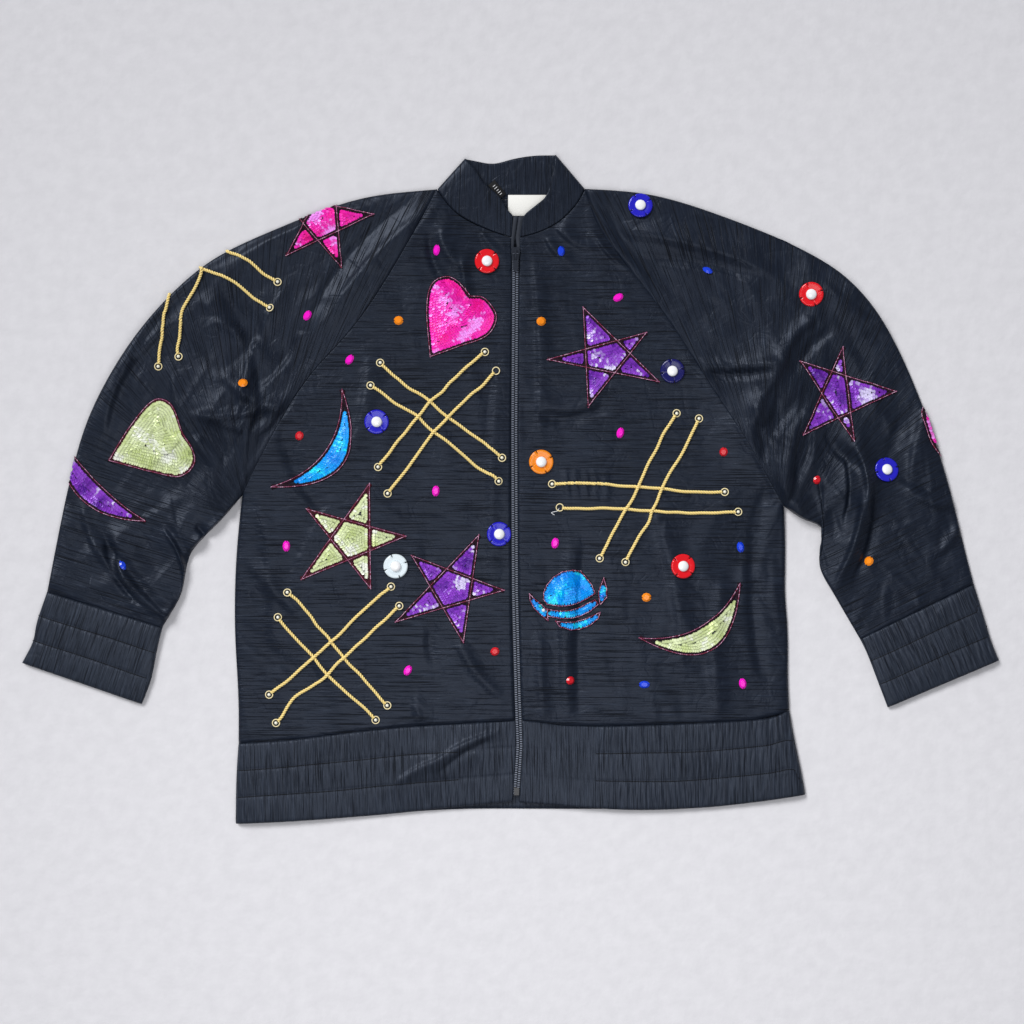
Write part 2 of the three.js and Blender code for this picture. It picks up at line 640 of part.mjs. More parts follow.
// Rows from the waistband seam to the neckline, one from each point of the edge, with both seams left open.
// rowAt makes one row from its number, its share of the way up, and the seams that it bends to.
function bodyGrid(edge, bandSeam, neckline, rowAt) {
  const heights = [0];
  const last = edge.length - 1;
  for (let i = 0; i < last; i++) heights.push(heights[i] + edge[i].place.distanceTo(edge[i + 1].place));
  const grid = heights.map((height, i) =>
    rowAt(i, height / heights[last], [
      { seam: bandSeam, hold: 1 - height / SEAM_REACH },
      { seam: neckline, hold: 1 - (heights[last] - height) / SEAM_REACH },
    ]),
  );
  const neckRow = grid[last];
  grid[0] = leaveSeam(grid[0], grid[1]);
  grid[last] = leaveSeam(grid[last], grid[last - 1], NECK_EASE);
  return { grid, neckRow };
}

// A front: rows from the waistband seam to the neckline, columns from the flank to the zip.
function frontGrid(side) {
  const { bandSeam, neckline } = SIDES[side].paths;
  const edge = bodyEdge(side, true);
  const [low, high] = [bandSeam.getPointAt(1).y, neckline.getPointAt(1).y];
  return bodyGrid(edge, bandSeam, neckline, (i, share, bends) => {
    const y = THREE.MathUtils.lerp(low, high, share);
    return upperRow(edge[i], new THREE.Vector3(openingX(side, y), y, 0), FRONT_SPANS, bends);
  });
}

// The back: rows from the waistband seam to the neckline, columns from the right flank to the left one.
function backGrid() {
  const [right, left] = ["right", "left"].map((side) => bodyEdge(side, false));
  return bodyGrid(right, backBandSeam, backNeckline, (i, share, bends) => lowerRow(right[i], left[i], bends));
}

// How a waistband row is bent towards its seam and its hem.
function bandBends(bandSeam, hem, down) {
  return [
    { seam: bandSeam, hold: Math.sqrt(1 - down) },
    { seam: hem, hold: Math.sqrt(down) },
  ];
}

// One half of the waistband's upper layer: rows from its seam to its hem.
function bandGrid(side) {
  const { bandSeam, hem, bandEdge } = SIDES[side].paths;
  const inward = new THREE.Vector3(-SIDES[side].sign, 0, 0);
  const grid = [];
  for (let i = 0; i <= BAND_ROWS; i++) {
    const down = i / BAND_ROWS;
    const edge = edgePoint(bandEdge.getPointAt(1 - down), inward, true);
    const y = THREE.MathUtils.lerp(bandSeam.getPointAt(1).y, hem.getPointAt(1).y, down);
    const end = new THREE.Vector3(openingX(side, y), y, 0);
    grid.push(upperRow(edge, end, BAND_GATHERS[side] * 2, bandBends(bandSeam, hem, down)));
  }
  grid[0] = leaveSeam(grid[0], grid[1]);
  return grid;
}

// Gathers over the casings for elastic: a ridge on every second column, and a puff between the stitched rows.
function gatherLift(lastGather) {
  return (row, column) => {
    const puff = CHANNEL_PUFF * Math.abs(Math.sin((Math.PI * CHANNELS * row) / BAND_ROWS));
    if (column < FIRST_GATHER || column > lastGather) return 0;
    return puff + (column % 2 ? GATHER_RISE : 0);
  };
}

function backBandGrid() {
  const rows = [];
  for (let i = 0; i <= CHANNELS; i++) {
    const down = i / CHANNELS;
    const [right, left] = ["right", "left"].map((side) => {
      const place = SIDES[side].paths.bandEdge.getPointAt(1 - down);
      return edgePoint(place, new THREE.Vector3(-SIDES[side].sign, 0, 0), false);
    });
    rows.push(lowerRow(right, left, bandBends(backBandSeam, backHem, down)));
  }
  rows[0] = leaveSeam(rows[0], rows[1]);
  return rows;
}

// A cuff: rings from the sleeve to the wrist, gathered over its casings on the side that shows.
function cuffGrid(side) {
  const { cuffOuter, cuffInner } = SIDES[side].paths;
  const grid = [];
  for (let i = 0; i <= BAND_ROWS; i++) {
    const [outer, inner] = [cuffOuter.getPointAt(i / BAND_ROWS), cuffInner.getPointAt(i / BAND_ROWS)];
    const line = (across) => outer.clone().lerp(inner, across);
    const upper = acrossLayer(line, CUFF_GATHERS * 2, true);
    const lower = acrossLayer((across) => line(1 - across), UNDER_SPANS, false);
    grid.push([...upper, ...lower.slice(1, -1)]);
  }
  grid[0] = leaveSeam(grid[0], grid[1]);
  return grid;
}

// The collar: one band round the neck, from the zip over the right shoulder, across the back and over the
// left one. Its base follows the neck rows of the fronts and the back.
function collarGrid(rightNeck, backNeck, leftNeck) {
  const right = collarEnd("right", rightNeck);
  const left = collarEnd("left", leftNeck);
  const top = path(COLLAR_BACK_TOP);
  const turn = EDGE_TURN / top.getLength();
  const last = backNeck.length - 1;
  const back = backNeck.slice(1, last).map((base, i) => {
    if (i === 0 || i === last - 2) {
      const from = i ? 1 : 0;
      const inward = top.getPointAt(Math.abs(from - turn)).sub(top.getPointAt(from)).normalize();
      return { base, top: turnPoint(top.getPointAt(from), inward, -EIGHTH_TURN), lift: 0 };
    }
    const place = top.getPointAt(THREE.MathUtils.lerp(turn, 1 - turn, (i - 1) / (last - 4)));
    return { base, top: lowerPoint(place.x, place.y), lift: 0 };
  });
  const stations = [...right, ...back, ...left.reverse()];
  const grid = [];
  for (let i = 0; i <= COLLAR_ROWS; i++) {
    const up = i / COLLAR_ROWS;
    grid.push(
      stations.map(({ base, top: high, lift }) => ({
        p: base.p.clone().lerp(high.p, up).add(new THREE.Vector3(0, 0, lift * up)),
        n: base.n.clone().lerp(high.n, up).normalize(),
      })),
    );
  }
  grid[0] = leaveSeam(grid[0], grid[1], NECK_EASE);
  return grid;
}

// The stations of the collar on one front, from the zip to its fold at the shoulder.
function collarEnd(side, neckRow) {
  const { collarTop } = SIDES[side].paths;
  const last = neckRow.length - 1;
  const turn = EDGE_TURN / collarTop.getLength();
  const inward = collarTop.getPointAt(turn).sub(collarTop.getPointAt(0)).normalize();
  return neckRow
    .map((base, j) => {
      if (j < 2) {
        const top = turnPoint(collarTop.getPointAt(0), inward, j * EIGHTH_TURN);
        return { base, top, lift: COLLAR_LIFT * COLLAR_END_LIFTS[j] };
      }
      const place = collarTop.getPointAt(THREE.MathUtils.lerp(turn, 1, (j - 2) / (last - 2)));
      return { base, top: upperPoint(place.x, place.y), lift: COLLAR_LIFT };
    })
    .reverse();
}

// One side of the zip: its tape under the front's edge, with the row of teeth standing on it as one bead.
function zipSide(side) {
  const sign = SIDES[side].sign;
  const rows = [];
  for (let i = -ZIP_STEPS.front; i <= ZIP_STEPS.collar; i++) {
    const y =
      i < 0
        ? THREE.MathUtils.lerp(NECK_Y, ZIP_BOTTOM, -i / ZIP_STEPS.front)
        : THREE.MathUtils.lerp(NECK_Y, ZIP_TOP, i / ZIP_STEPS.collar);
    const x = teethX(side, y);
    const lift = THREE.MathUtils.clamp((y - NECK_Y) / (ZIP_TOP - NECK_Y), 0, 1) * COLLAR_LIFT;
    const top = UPPER + lift;
    const tapeTop = UPPER + lift / 2 - CLOTH / 2 - SEAM_GAP;
    const section = [
      [0, top + TEETH_TOP], [TEETH_WIDTH, top + TEETH_TOP], [TEETH_WIDTH, tapeTop], [TAPE_WIDTH, tapeTop],
      [TAPE_WIDTH, tapeTop - TAPE], [0, tapeTop - TAPE],
    ];
    rows.push(section.map(([out, z]) => new THREE.Vector3(x + sign * out, y, z)));
  }
  return sweep(rows);
}

// A closed solid through rows of section points, capped with fans at both ends.
function sweep(rows) {
  const columns = rows[0].length;
  const positions = rows.flat().flatMap((point) => point.toArray());
  const index = [];
  for (let i = 0; i < rows.length - 1; i++) {
    for (let j = 0; j < columns; j++) {
      const [a, b] = [i * columns + j, i * columns + ((j + 1) % columns)];
      index.push(a, b, b + columns, a, b + columns, a + columns);
    }
  }
  const ends = THREE.ShapeUtils.triangulateShape(
    rows[0].map((point) => new THREE.Vector2(point.x, point.z)),
    [],
  );
  const top = (rows.length - 1) * columns;
  const clockwise = THREE.ShapeUtils.isClockWise(rows[0].map((point) => new THREE.Vector2(point.x, point.z)));
  for (const [a, b, c] of ends) {
    const [p, q] = clockwise ? [c, b] : [b, c];
    index.push(a, q, p, top + a, top + p, top + q);
  }
  const geometry = new THREE.BufferGeometry();
  geometry.setAttribute("position", new THREE.Float32BufferAttribute(positions, 3));
  geometry.setIndex(index);
  return facingOut(geometry);
}

// A prism of an outline in plan, from z to z + height.
function prism(points, z, height) {
  const shape = new THREE.Shape(points.map(([x, y]) => new THREE.Vector2(x, y)));
  const geometry = new THREE.ExtrudeGeometry(shape, { depth: height, bevelEnabled: false });
  return solidOf(geometry.translate(0, 0, z));
}

function block(width, length, height, x, y, z) {
  return solidOf(new THREE.BoxGeometry(width, length, height).translate(x, y, z + height / 2));
}

// The slider: a tapered plate over the teeth, with a bridge along it for the pull's bar.
function sliderGeometry() {
  const x = centreX(SLIDER.y);
  const base = UPPER + TEETH_TOP + SEAM_GAP;
  const deck = base + SLIDER.plate;
  const sizes = [SLIDER.length, SLIDER.top, SLIDER.bottom, SLIDER.crown];
  const [half, top, bottom, crown] = sizes.map((size) => size / 2);
  let solid = prism(
    [
      [x - bottom, SLIDER.y - half], [x + bottom, SLIDER.y - half], [x + top, SLIDER.y + SLIDER.shoulder],
      [x + crown, SLIDER.y + half], [x - crown, SLIDER.y + half], [x - top, SLIDER.y + SLIDER.shoulder],
    ],
    base,
    SLIDER.plate,
  );
  const legHeight = BRIDGE.clear + BRIDGE.bar;
  for (const end of [-1, 1]) {
    const legY = SLIDER.y + end * (BRIDGE.length / 2 - BRIDGE.bar / 2);
    solid = solid.add(block(BRIDGE.width, BRIDGE.bar, legHeight, x, legY, deck - BRIDGE.sunk));
  }
  solid = solid.add(block(BRIDGE.width, BRIDGE.length, BRIDGE.bar, x, SLIDER.y, deck + BRIDGE.clear));
  return geometryOf(solid);
}

// The pull tab, hung by a bar under the bridge and lying down the zip.
function pullTab() {
  const [half, foot] = [PULL.width / 2, PULL.foot / 2];
  const outline = new THREE.Shape();
  outline.moveTo(-half, 0);
  outline.lineTo(half, 0);
  outline.absarc(0, foot - PULL.length, foot, 0, -Math.PI, true);
  const shape = { depth: PULL.thick, bevelEnabled: false, curveSegments: 6 };
  const slab = new THREE.ExtrudeGeometry(outline, shape);
  const plate = solidOf(slab.translate(0, 0, -PULL.thick / 2));
  const window = block(PULL.window, PULL.opening, PULL.thick * 3, 0, -PULL.opening / 2, -PULL.thick * 1.5);
  const bar = solidOf(
    new THREE.CylinderGeometry(PULL.bar / 2, PULL.bar / 2, PULL.width, 10).rotateZ(QUARTER_TURN),
  );
  const mesh = new THREE.Mesh(geometryOf(plate.subtract(window).add(bar)));
  const deck = UPPER + TEETH_TOP + SEAM_GAP + SLIDER.plate;
  mesh.position.set(centreX(SLIDER.y), SLIDER.y, deck + BRIDGE.clear / 2);
  mesh.rotation.x = THREE.MathUtils.degToRad(PULL.droop);
  return mesh;
}

// The box that holds both tapes together at the bottom of the zip.
function zipBox() {
  const y = ZIP_BOTTOM + ZIP_BOX.rise;
  const base = UPPER + TEETH_TOP + SEAM_GAP;
  return geometryOf(block(ZIP_BOX.width, ZIP_BOX.length, ZIP_BOX.height, centreX(y), y, base));
}

// Where the straight line from a to b crosses the one from c to d.
function crossing([ax, ay], [bx, by], [cx, cy], [dx, dy]) {
  const turn = (bx - ax) * (dy - cy) - (by - ay) * (dx - cx);
  const share = ((cx - ax) * (dy - cy) - (cy - ay) * (dx - cx)) / turn;
  return [ax + (bx - ax) * share, ay + (by - ay) * share];
}

// Outlines of the sewn-on shapes, in plan.
function starOutline({ tips }) {
  const tip = (i) => tips[(i + tips.length) % tips.length];
  return tips.flatMap((corner, i) => [corner, crossing(corner, tip(i + 2), tip(i + 1), tip(i - 1))]);
}

function heartOutline({ up, down }) {
  return [up, down].flatMap((side) =>
    path(table("x y", side)).getPoints(HEART_STEPS).slice(1).map((point) => [point.x, point.y]),
  );
}

function crescentOutline({ x1, y1, x2, y2, bulge, hollow }) {
  const length = Math.hypot(x2 - x1, y2 - y1);
  const [dx, dy] = [(x2 - x1) / length, (y2 - y1) / length];
  const side = (bow, share) => {
    const out = bow * 4 * share * (1 - share);
    return [x1 + dx * length * share - dy * out, y1 + dy * length * share + dx * out];
  };
  const points = [];
  for (let i = 0; i < CRESCENT_STEPS; i++) points.push(side(bulge, i / CRESCENT_STEPS));
  for (let i = CRESCENT_STEPS; i > 0; i--) points.push(side(hollow, i / CRESCENT_STEPS));
  return points;
}

// The outline of a strip along a bent line, in plan.
function stripOutline(points, width) {
  const edges = [1, -1].map((sign) =>
    points.map(([x, y], i) => {
      const [before, after] = [points[Math.max(i - 1, 0)], points[Math.min(i + 1, points.length - 1)]];
      const [dx, dy] = [after[0] - before[0], after[1] - before[1]];
      const out = (sign * width) / 2 / Math.hypot(dx, dy);
      return [x - dy * out, y + dx * out];
    }),
  );
  return [...edges[0], ...edges[1].reverse()];
}

// The outline of an eyelet, in plan.
function eyeletOutline([x, y]) {
  return Array.from({ length: EYELET_SIDES }, (_, i) => {
    const angle = (2 * Math.PI * i) / EYELET_SIDES;
    return [x + CORD.eyelet * Math.cos(angle), y + CORD.eyelet * Math.sin(angle)];
  });
}

// A solid on a panel: the panel's own points moved out, and cut to the outlines together.
function sewnOn(panel, outlines, height) {
  const { grid, loop } = panels[panel];
  const above = CLOTH / 2 + SEAM_GAP + height / 2;
  const skin = wall(grid.map((row) => row.map((point) => raised(point, above))), height, { loop });
  const plan = outlines
    .map((outline) => prism(outline, PATCH_LOW, PATCH_DEPTH))
    .reduce((whole, piece) => whole.add(piece));
  return geometryOf(largestBody(solidOf(skin).intersect(plan)));
}

function planetGeometry() {
  const { panel, globe, horns } = PLANET;
  const round = new THREE.CatmullRomCurve3(
    globe.map(({ x, y }) => new THREE.Vector3(x, y, 0)),
    true,
  );
  const outlines = [round.getPoints(GLOBE_STEPS).slice(1).map((point) => [point.x, point.y]), ...horns];
  return sewnOn(panel, outlines, PATCH);
}

// Crossing cords with an eyelet at each end, fused where they cross.
function latticeGeometry({ panel, cords, overEdge }) {
  const outlines = cords.flatMap((points) => {
    const eyelets = overEdge ? [points[0]] : [points[0], points[points.length - 1]];
    return [stripOutline(points, CORD.width), ...eyelets.map(eyeletOutline)];
  });
  return sewnOn(panel, outlines, CORD.height);
}

// A round jewel: a dished ring with a pearl in the middle, tilted to the cloth and lifted just clear of it.
function roundJewel({ x, y, panel }) {
  const { radius, lip, rim, dish, pearl, pearlTop, pearlRise } = ROUND;
  const profile = [
    [0, 0], [radius, 0], [lip, rim], [pearl, dish], [pearlTop, dish + pearlRise], [0, dish + pearlRise],
  ].map(([r, z]) => new THREE.Vector2(r, z));
  const geometry = new THREE.LatheGeometry(profile, ROUND_SIDES).rotateX(QUARTER_TURN);
  const seat = upperPoint(x, y);
  const tilt = new THREE.Quaternion().setFromUnitVectors(new THREE.Vector3(0, 0, 1), seat.n);
  geometry.applyQuaternion(tilt);
  const placed = (gap) => solidOf(geometry.clone().translate(...raised(seat, gap).p.toArray()));
  let gap = CLOTH / 2 + SEAM_GAP;
  while (placed(gap).intersect(panels[panel].solid).volume() > 0) gap += SEAM_GAP / 2;
  return geometryOf(placed(gap + SEAM_GAP / 2));
}

// The blank satin label that hangs from the back neck seam, with its corners turned under.
function labelGeometry() {
  const { x, y, width, depth, corner, thick } = NECK_LABEL;
  const [w, d] = [width / 2, depth / 2];
  const outline = [
    [x - w + corner, y - d], [x + w - corner, y - d], [x + w, y - d + corner], [x + w, y + d], [x - w, y + d],
    [x - w, y - d + corner],
  ];
  return geometryOf(prism(outline, CLOTH + SEAM_GAP, thick));
}

function sizeTagMesh() {
  const { x, y, width, depth, thick, turn } = SIZE_TAG;
  const mesh = new THREE.Mesh(new THREE.BoxGeometry(width, depth, thick));
  mesh.position.set(x, y, CLOTH + SEAM_GAP + thick / 2);
  mesh.rotation.z = THREE.MathUtils.degToRad(turn);
  return mesh;
}

for (const side of Object.values(SIDES)) {
  side.paths = Object.fromEntries(
    Object.entries(side)
      .filter(([, rows]) => Array.isArray(rows))
      .map(([name, rows]) => [name, path(rows)]),
  );
}
const [backBandSeam, backHem] = ["bandSeam", "hem"].map((edge) =>
  path([...SIDES.right[edge].slice(0, -1), ...SIDES.left[edge].slice(0, -1).reverse()]),
);
const backNeckline = path(BACK_NECKLINE);

// The panels that carry sewn-on work
const fronts = { right: frontGrid("right"), left: frontGrid("left") };
const back = backGrid();
const panels = {
  front_right: { grid: fronts.right.grid, loop: false },
  front_left: { grid: fronts.left.grid, loop: false },
  sleeve_right: { grid: sleeveGrid("right"), loop: true },
  sleeve_left: { grid: sleeveGrid("left"), loop: true },
};
for (const panel of Object.values(panels)) {
  panel.geometry = wall(panel.grid, CLOTH, { loop: panel.loop });
  panel.solid = solidOf(panel.geometry);
}

const jacket = new THREE.Group();

function finish(colour, roughness, metalness = 0) {
  return new THREE.MeshStandardMaterial({ color: colour, roughness, metalness });
}

function add(name, piece, material) {
  const mesh = piece.isMesh ? piece : new THREE.Mesh(piece);
  mesh.name = name;
  mesh.material = material;
  jacket.add(mesh);
}

const silk = finish(SILK, 0.55);
for (const [name, panel] of Object.entries(panels)) add(name, panel.geometry, silk);
add("back", wall(back.grid, CLOTH), silk);
add("collar", wall(collarGrid(fronts.right.neckRow, back.neckRow, fronts.left.neckRow), CLOTH), silk);
for (const side of ["right", "left"]) {
  const lastInBand = BAND_GATHERS[side] * 2 - BAND_CALM;
  const lastInCuff = CUFF_GATHERS * 2 + 1;
  add("waistband_" + side, wall(bandGrid(side), CLOTH, { lift: gatherLift(lastInBand) }), silk);
  add("cuff_" + side, wall(cuffGrid(side), CLOTH, { loop: true, lift: gatherLift(lastInCuff) }), silk);
  add("zip_" + side, zipSide(side), finish(0x24262c, 0.5));
}
add("waistband_back", wall(backBandGrid(), CLOTH), silk);
add("zip_slider", sliderGeometry(), finish(0x2b2d33, 0.3, 1));
add("zip_box", zipBox(), finish(0x2b2d33, 0.4));
add("pull_tab", pullTab(), finish(0x2b2d33, 0.3, 1));
add("neck_label", labelGeometry(), finish(0xf0efec, 0.5));
add("size_tag", sizeTagMesh(), finish(0x0c0c0e, 0.6));

const sequinned = [
  [STARS, starOutline],
  [HEARTS, heartOutline],
  [CRESCENTS, crescentOutline],
];
for (const [shapes, outline] of sequinned) {
  for (const shape of shapes) {
    add(shape.name, sewnOn(shape.panel, [outline(shape)], PATCH), finish(shape.colour, 0.25));
  }
}
add("planet", planetGeometry(), finish(PLANET.colour, 0.25));
for (const [name, lattice] of Object.entries(LATTICES)) {
  add(name, latticeGeometry(lattice), finish(0xe3c869, 0.4, 0.6));
}
for (const round of ROUNDS) add(round.name, roundJewel(round), finish(round.colour, 0.2));

export default jacket;
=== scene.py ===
"""A black silk blouson sewn with sequinned shapes, cord lattices and jewels, laid flat on a pale surface."""

import logging
import math
import random
from dataclasses import dataclass, field
from enum import Enum

import bmesh
import bpy
import numpy as np
from mathutils import Matrix, Vector
from mathutils.bvhtree import BVHTree


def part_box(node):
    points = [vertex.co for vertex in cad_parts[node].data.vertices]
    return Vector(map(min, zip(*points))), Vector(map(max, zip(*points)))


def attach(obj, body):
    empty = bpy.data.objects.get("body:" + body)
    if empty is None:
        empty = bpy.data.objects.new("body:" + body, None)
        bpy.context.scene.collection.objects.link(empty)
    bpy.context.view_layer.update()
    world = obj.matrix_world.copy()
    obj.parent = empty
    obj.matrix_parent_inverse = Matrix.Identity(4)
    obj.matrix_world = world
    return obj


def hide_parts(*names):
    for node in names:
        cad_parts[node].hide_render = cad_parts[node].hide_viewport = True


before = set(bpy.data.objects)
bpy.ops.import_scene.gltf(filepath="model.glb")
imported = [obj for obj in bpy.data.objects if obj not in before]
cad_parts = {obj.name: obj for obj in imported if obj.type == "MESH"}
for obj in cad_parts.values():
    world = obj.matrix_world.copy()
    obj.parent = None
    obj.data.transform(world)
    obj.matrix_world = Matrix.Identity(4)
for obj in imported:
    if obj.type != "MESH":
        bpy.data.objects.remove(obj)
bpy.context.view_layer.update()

log = logging.getLogger("blouson")

MM = 0.001
CLOTH = 1.4  # the wall of the construction's cloth, mm
UPPER = 5.9  # middle of the upper layer over the surface, mm
LEAST_TOP = 3.2  # the upper layer's face is never lower than this, mm
BODY = "garment"


class Layer(Enum):
    """Which side of the laid garment a cloth piece shows."""

    UPPER = "upper"
    LOWER = "lower"
    ROUND = "round"


class Weft(Enum):
    """How the slubs run on a cloth piece."""

    ACROSS = "across"
    UPRIGHT = "upright"
    ARM = "arm"


def linear(colour: int, alpha: float = 1.0) -> tuple[float, float, float, float]:
    """Turns an sRGB hex colour into a linear one.

    Args:
        colour: The colour as 0xRRGGBB.
        alpha: Its alpha.

    Returns:
        Four channels for a shader socket.
    """
    channels = []
    for shift in (16, 8, 0):
        value = ((colour >> shift) & 255) / 255
        channels.append(value / 12.92 if value <= 0.04045 else ((value + 0.055) / 1.055) ** 2.4)
    return (*channels, alpha)


def add_node(tree: bpy.types.NodeTree, kind: str, inputs: dict | None = None, **settings) -> bpy.types.Node:
    """Adds a node, sets its properties, and fills or links its inputs.

    Args:
        tree: The tree that gets the node.
        kind: The node's type.
        inputs: For each input, by name or number, a value or the socket that feeds it.
        **settings: The node's own properties.

    Returns:
        The new node.
    """
    node = tree.nodes.new(kind)
    for name, value in settings.items():
        setattr(node, name, value)
    for key, value in (inputs or {}).items():
        if isinstance(value, bpy.types.NodeSocket):
            tree.links.new(value, node.inputs[key])
        else:
            node.inputs[key].default_value = value
    return node


def new_material(name: str) -> tuple[bpy.types.Material, bpy.types.NodeTree]:
    """Starts an empty node material.

    Args:
        name: The material's name.

    Returns:
        The material and its tree.
    """
    material = bpy.data.materials.new(name)
    material.use_nodes = True
    material.node_tree.nodes.clear()
    return material, material.node_tree


def close_material(tree: bpy.types.NodeTree, shader: bpy.types.Node) -> None:
    """Joins a shader to the material's output.

    Args:
        tree: The material's tree.
        shader: The node whose first output is the surface.
    """
    add_node(tree, "ShaderNodeOutputMaterial", {"Surface": shader.outputs[0]})


@dataclass(frozen=True)
class SlubSilk:
    """Dupion silk, woven from uneven yarns: near-black navy with short dark gaps between yarns, paler slubs, fine
    crinkles, and a soft lustre where it turns to the light."""

    name: str = "slub_silk"
    gap: int = 0x010206
    ground: int = 0x0C121E
    slub: int = 0x1C2432
    yarn_mm: float = 1.5  # coarser than the real 0.4 mm yarn, so that it shows
    gap_mm: tuple[float, float] = (70, 1.25)
    slub_mm: tuple[float, float] = (60, 2.8)
    crinkle_mm: tuple[float, float] = (40, 19)
    crinkle: float = 0.34
    roughness: float = 0.42
    relief_mm: float = 0.9

    def material(self) -> bpy.types.Material:
        """Builds the material.

        Returns:
            The silk.
        """
        material, tree = new_material(self.name)
        thread = add_node(tree, "ShaderNodeUVMap", uv_map="thread").outputs["UV"]
        yarn = self._streaks(tree, thread, (18, self.yarn_mm), 0.0, (0.3, 0.7))
        gaps = self._streaks(tree, thread, self.gap_mm, 7.0, (0.55, 0.67))
        slubs = self._streaks(tree, thread, self.slub_mm, 3.0, (0.52, 0.74))
        lit = self._weighed(tree, 0.0, ((slubs, 0.6), (yarn, 0.55)))
        colour = linear(self.ground)
        for share, other in ((lit, self.slub), (gaps, self.gap)):
            blend = {0: share, 6: colour, 7: linear(other)}
            colour = add_node(tree, "ShaderNodeMix", blend, data_type="RGBA").outputs[2]
        crinkle = self._crinkles(tree, thread)
        weave = self._weighed(tree, crinkle, ((gaps, -0.3), (slubs, 0.14), (yarn, 0.1)))
        bump = add_node(
            tree, "ShaderNodeBump", {"Strength": 1.0, "Distance": self.relief_mm * MM, "Height": weave}
        )
        shader = add_node(
            tree,
            "ShaderNodeBsdfPrincipled",
            {
                "Base Color": colour,
                "Roughness": self._weighed(tree, self.roughness, ((gaps, 0.3),)),
                "Specular IOR Level": 0.3,
                "Specular Tint": linear(0xDEE9FF),
                "Sheen Weight": 0.04,
                "Sheen Roughness": 0.4,
                "Sheen Tint": linear(0x9FB0D0),
                "Normal": bump.outputs["Normal"],
            },
        )
        close_material(tree, shader)
        return material

    @staticmethod
    def _weighed(tree: bpy.types.NodeTree, base: float | bpy.types.NodeSocket,
                 patterns: tuple[tuple[bpy.types.NodeSocket, float], ...]) -> bpy.types.NodeSocket:
        """Patterns added to a base, each times its share.

        Args:
            tree: The material's tree.
            base: What they are added to.
            patterns: Each pattern's socket and its share.

        Returns:
            The socket with the total.
        """
        for pattern, share in patterns:
            terms = {0: pattern, 1: share, 2: base}
            base = add_node(tree, "ShaderNodeMath", terms, operation="MULTIPLY_ADD").outputs[0]
        return base

    @staticmethod
    def _streaks(tree: bpy.types.NodeTree, thread: bpy.types.NodeSocket, size_mm: tuple[float, float], shift: float,
                 window: tuple[float, float]) -> bpy.types.NodeSocket:
        """Noise drawn out along the yarn.

        Args:
            tree: The material's tree.
            thread: The yarn's coordinates, in metres.
            size_mm: Length and width of a streak.
            shift: Moves the pattern.
            window: The noise values that become 0 and 1.

        Returns:
            The socket with the streaks, from 0 to 1.
        """
        along, across = size_mm
        mapped = add_node(
            tree,
            "ShaderNodeMapping",
            {"Vector": thread, "Location": (shift, shift, shift), "Scale": (1 / (along * MM), 1 / (across * MM), 1)},
        )
        noise = add_node(
            tree, "ShaderNodeTexNoise", {"Vector": mapped.outputs[0], "Scale": 1.0, "Detail": 2.5, "Roughness": 0.55}
        )
        low, high = window
        return add_node(
            tree,
            "ShaderNodeMapRange",
            {"Value": noise.outputs["Fac"], "From Min": low, "From Max": high},
            interpolation_type="SMOOTHSTEP",
        ).outputs["Result"]

    def _crinkles(self, tree: bpy.types.NodeTree, thread: bpy.types.NodeSocket) -> bpy.types.NodeSocket:
        """Fine sharp creases, where a slow noise passes its middle, fading in and out over the cloth.

        Args:
            tree: The material's tree.
            thread: The yarn's coordinates, in metres.

        Returns:
            The socket with their height.
        """
        height = 0.0
        for number, size in enumerate(self.crinkle_mm):
            noise = add_node(
                tree,
                "ShaderNodeTexNoise",
                {"Vector": thread, "Scale": 1 / (size * MM), "Detail": 2.0, "Roughness": 0.5, "Distortion": 0.7},
            ).outputs["Fac"]
            off = add_node(tree, "ShaderNodeMath", {0: noise, 1: 0.47 + 0.05 * number}, operation="SUBTRACT").outputs[0]
            away = add_node(tree, "ShaderNodeMath", {0: off}, operation="ABSOLUTE").outputs[0]
            fold = add_node(
                tree,
                "ShaderNodeMapRange",
                {"Value": away, "From Min": 0.0, "From Max": 0.11, "To Min": -1.0, "To Max": 0.0},
                interpolation_type="SMOOTHSTEP",
            ).outputs["Result"]
            patches = self._streaks(tree, thread, (size * 2.2, size * 1.7), 11.0 + number, (0.38, 0.6))
            deep = add_node(tree, "ShaderNodeMath", {0: fold, 1: patches}, operation="MULTIPLY").outputs[0]
            height = self._weighed(tree, height, ((deep, self.crinkle * (1 - 0.4 * number)),))
        return height


@dataclass(frozen=True)
class Tinted:
    """A glossy or metallic finish whose colour is kept on the mesh, one tint for each small piece: foil sequins,
    lacquer, metallic yarn or moulded plastic."""

    name: str
    roughness: float
    metallic: float = 0.0
    coat: float = 0.0
    specular: float = 0.5
    grain_mm: float = 0.0
    grain_depth_mm: float = 0.05

    def material(self) -> bpy.types.Material:
        """Builds the material.

        Returns:
            The finish.
        """
        material, tree = new_material(self.name)
        tint = add_node(tree, "ShaderNodeAttribute", attribute_name="tint").outputs["Color"]
        inputs = {
            "Base Color": tint,
            "Roughness": self.roughness,
            "Metallic": self.metallic,
            "Coat Weight": self.coat,
            "Coat Roughness": 0.12,
            "Specular IOR Level": self.specular,
        }
        if self.grain_mm:
            place = add_node(tree, "ShaderNodeTexCoord").outputs["Object"]
            grain = add_node(
                tree, "ShaderNodeTexNoise", {"Vector": place, "Scale": 1 / (self.grain_mm * MM), "Detail": 3.0}
            )
            bump = add_node(
                tree,
                "ShaderNodeBump",
                {"Strength": 0.6, "Distance": self.grain_depth_mm * MM, "Height": grain.outputs["Fac"]},
            )
            inputs["Normal"] = bump.outputs["Normal"]
        close_material(tree, add_node(tree, "ShaderNodeBsdfPrincipled", inputs))
        return material


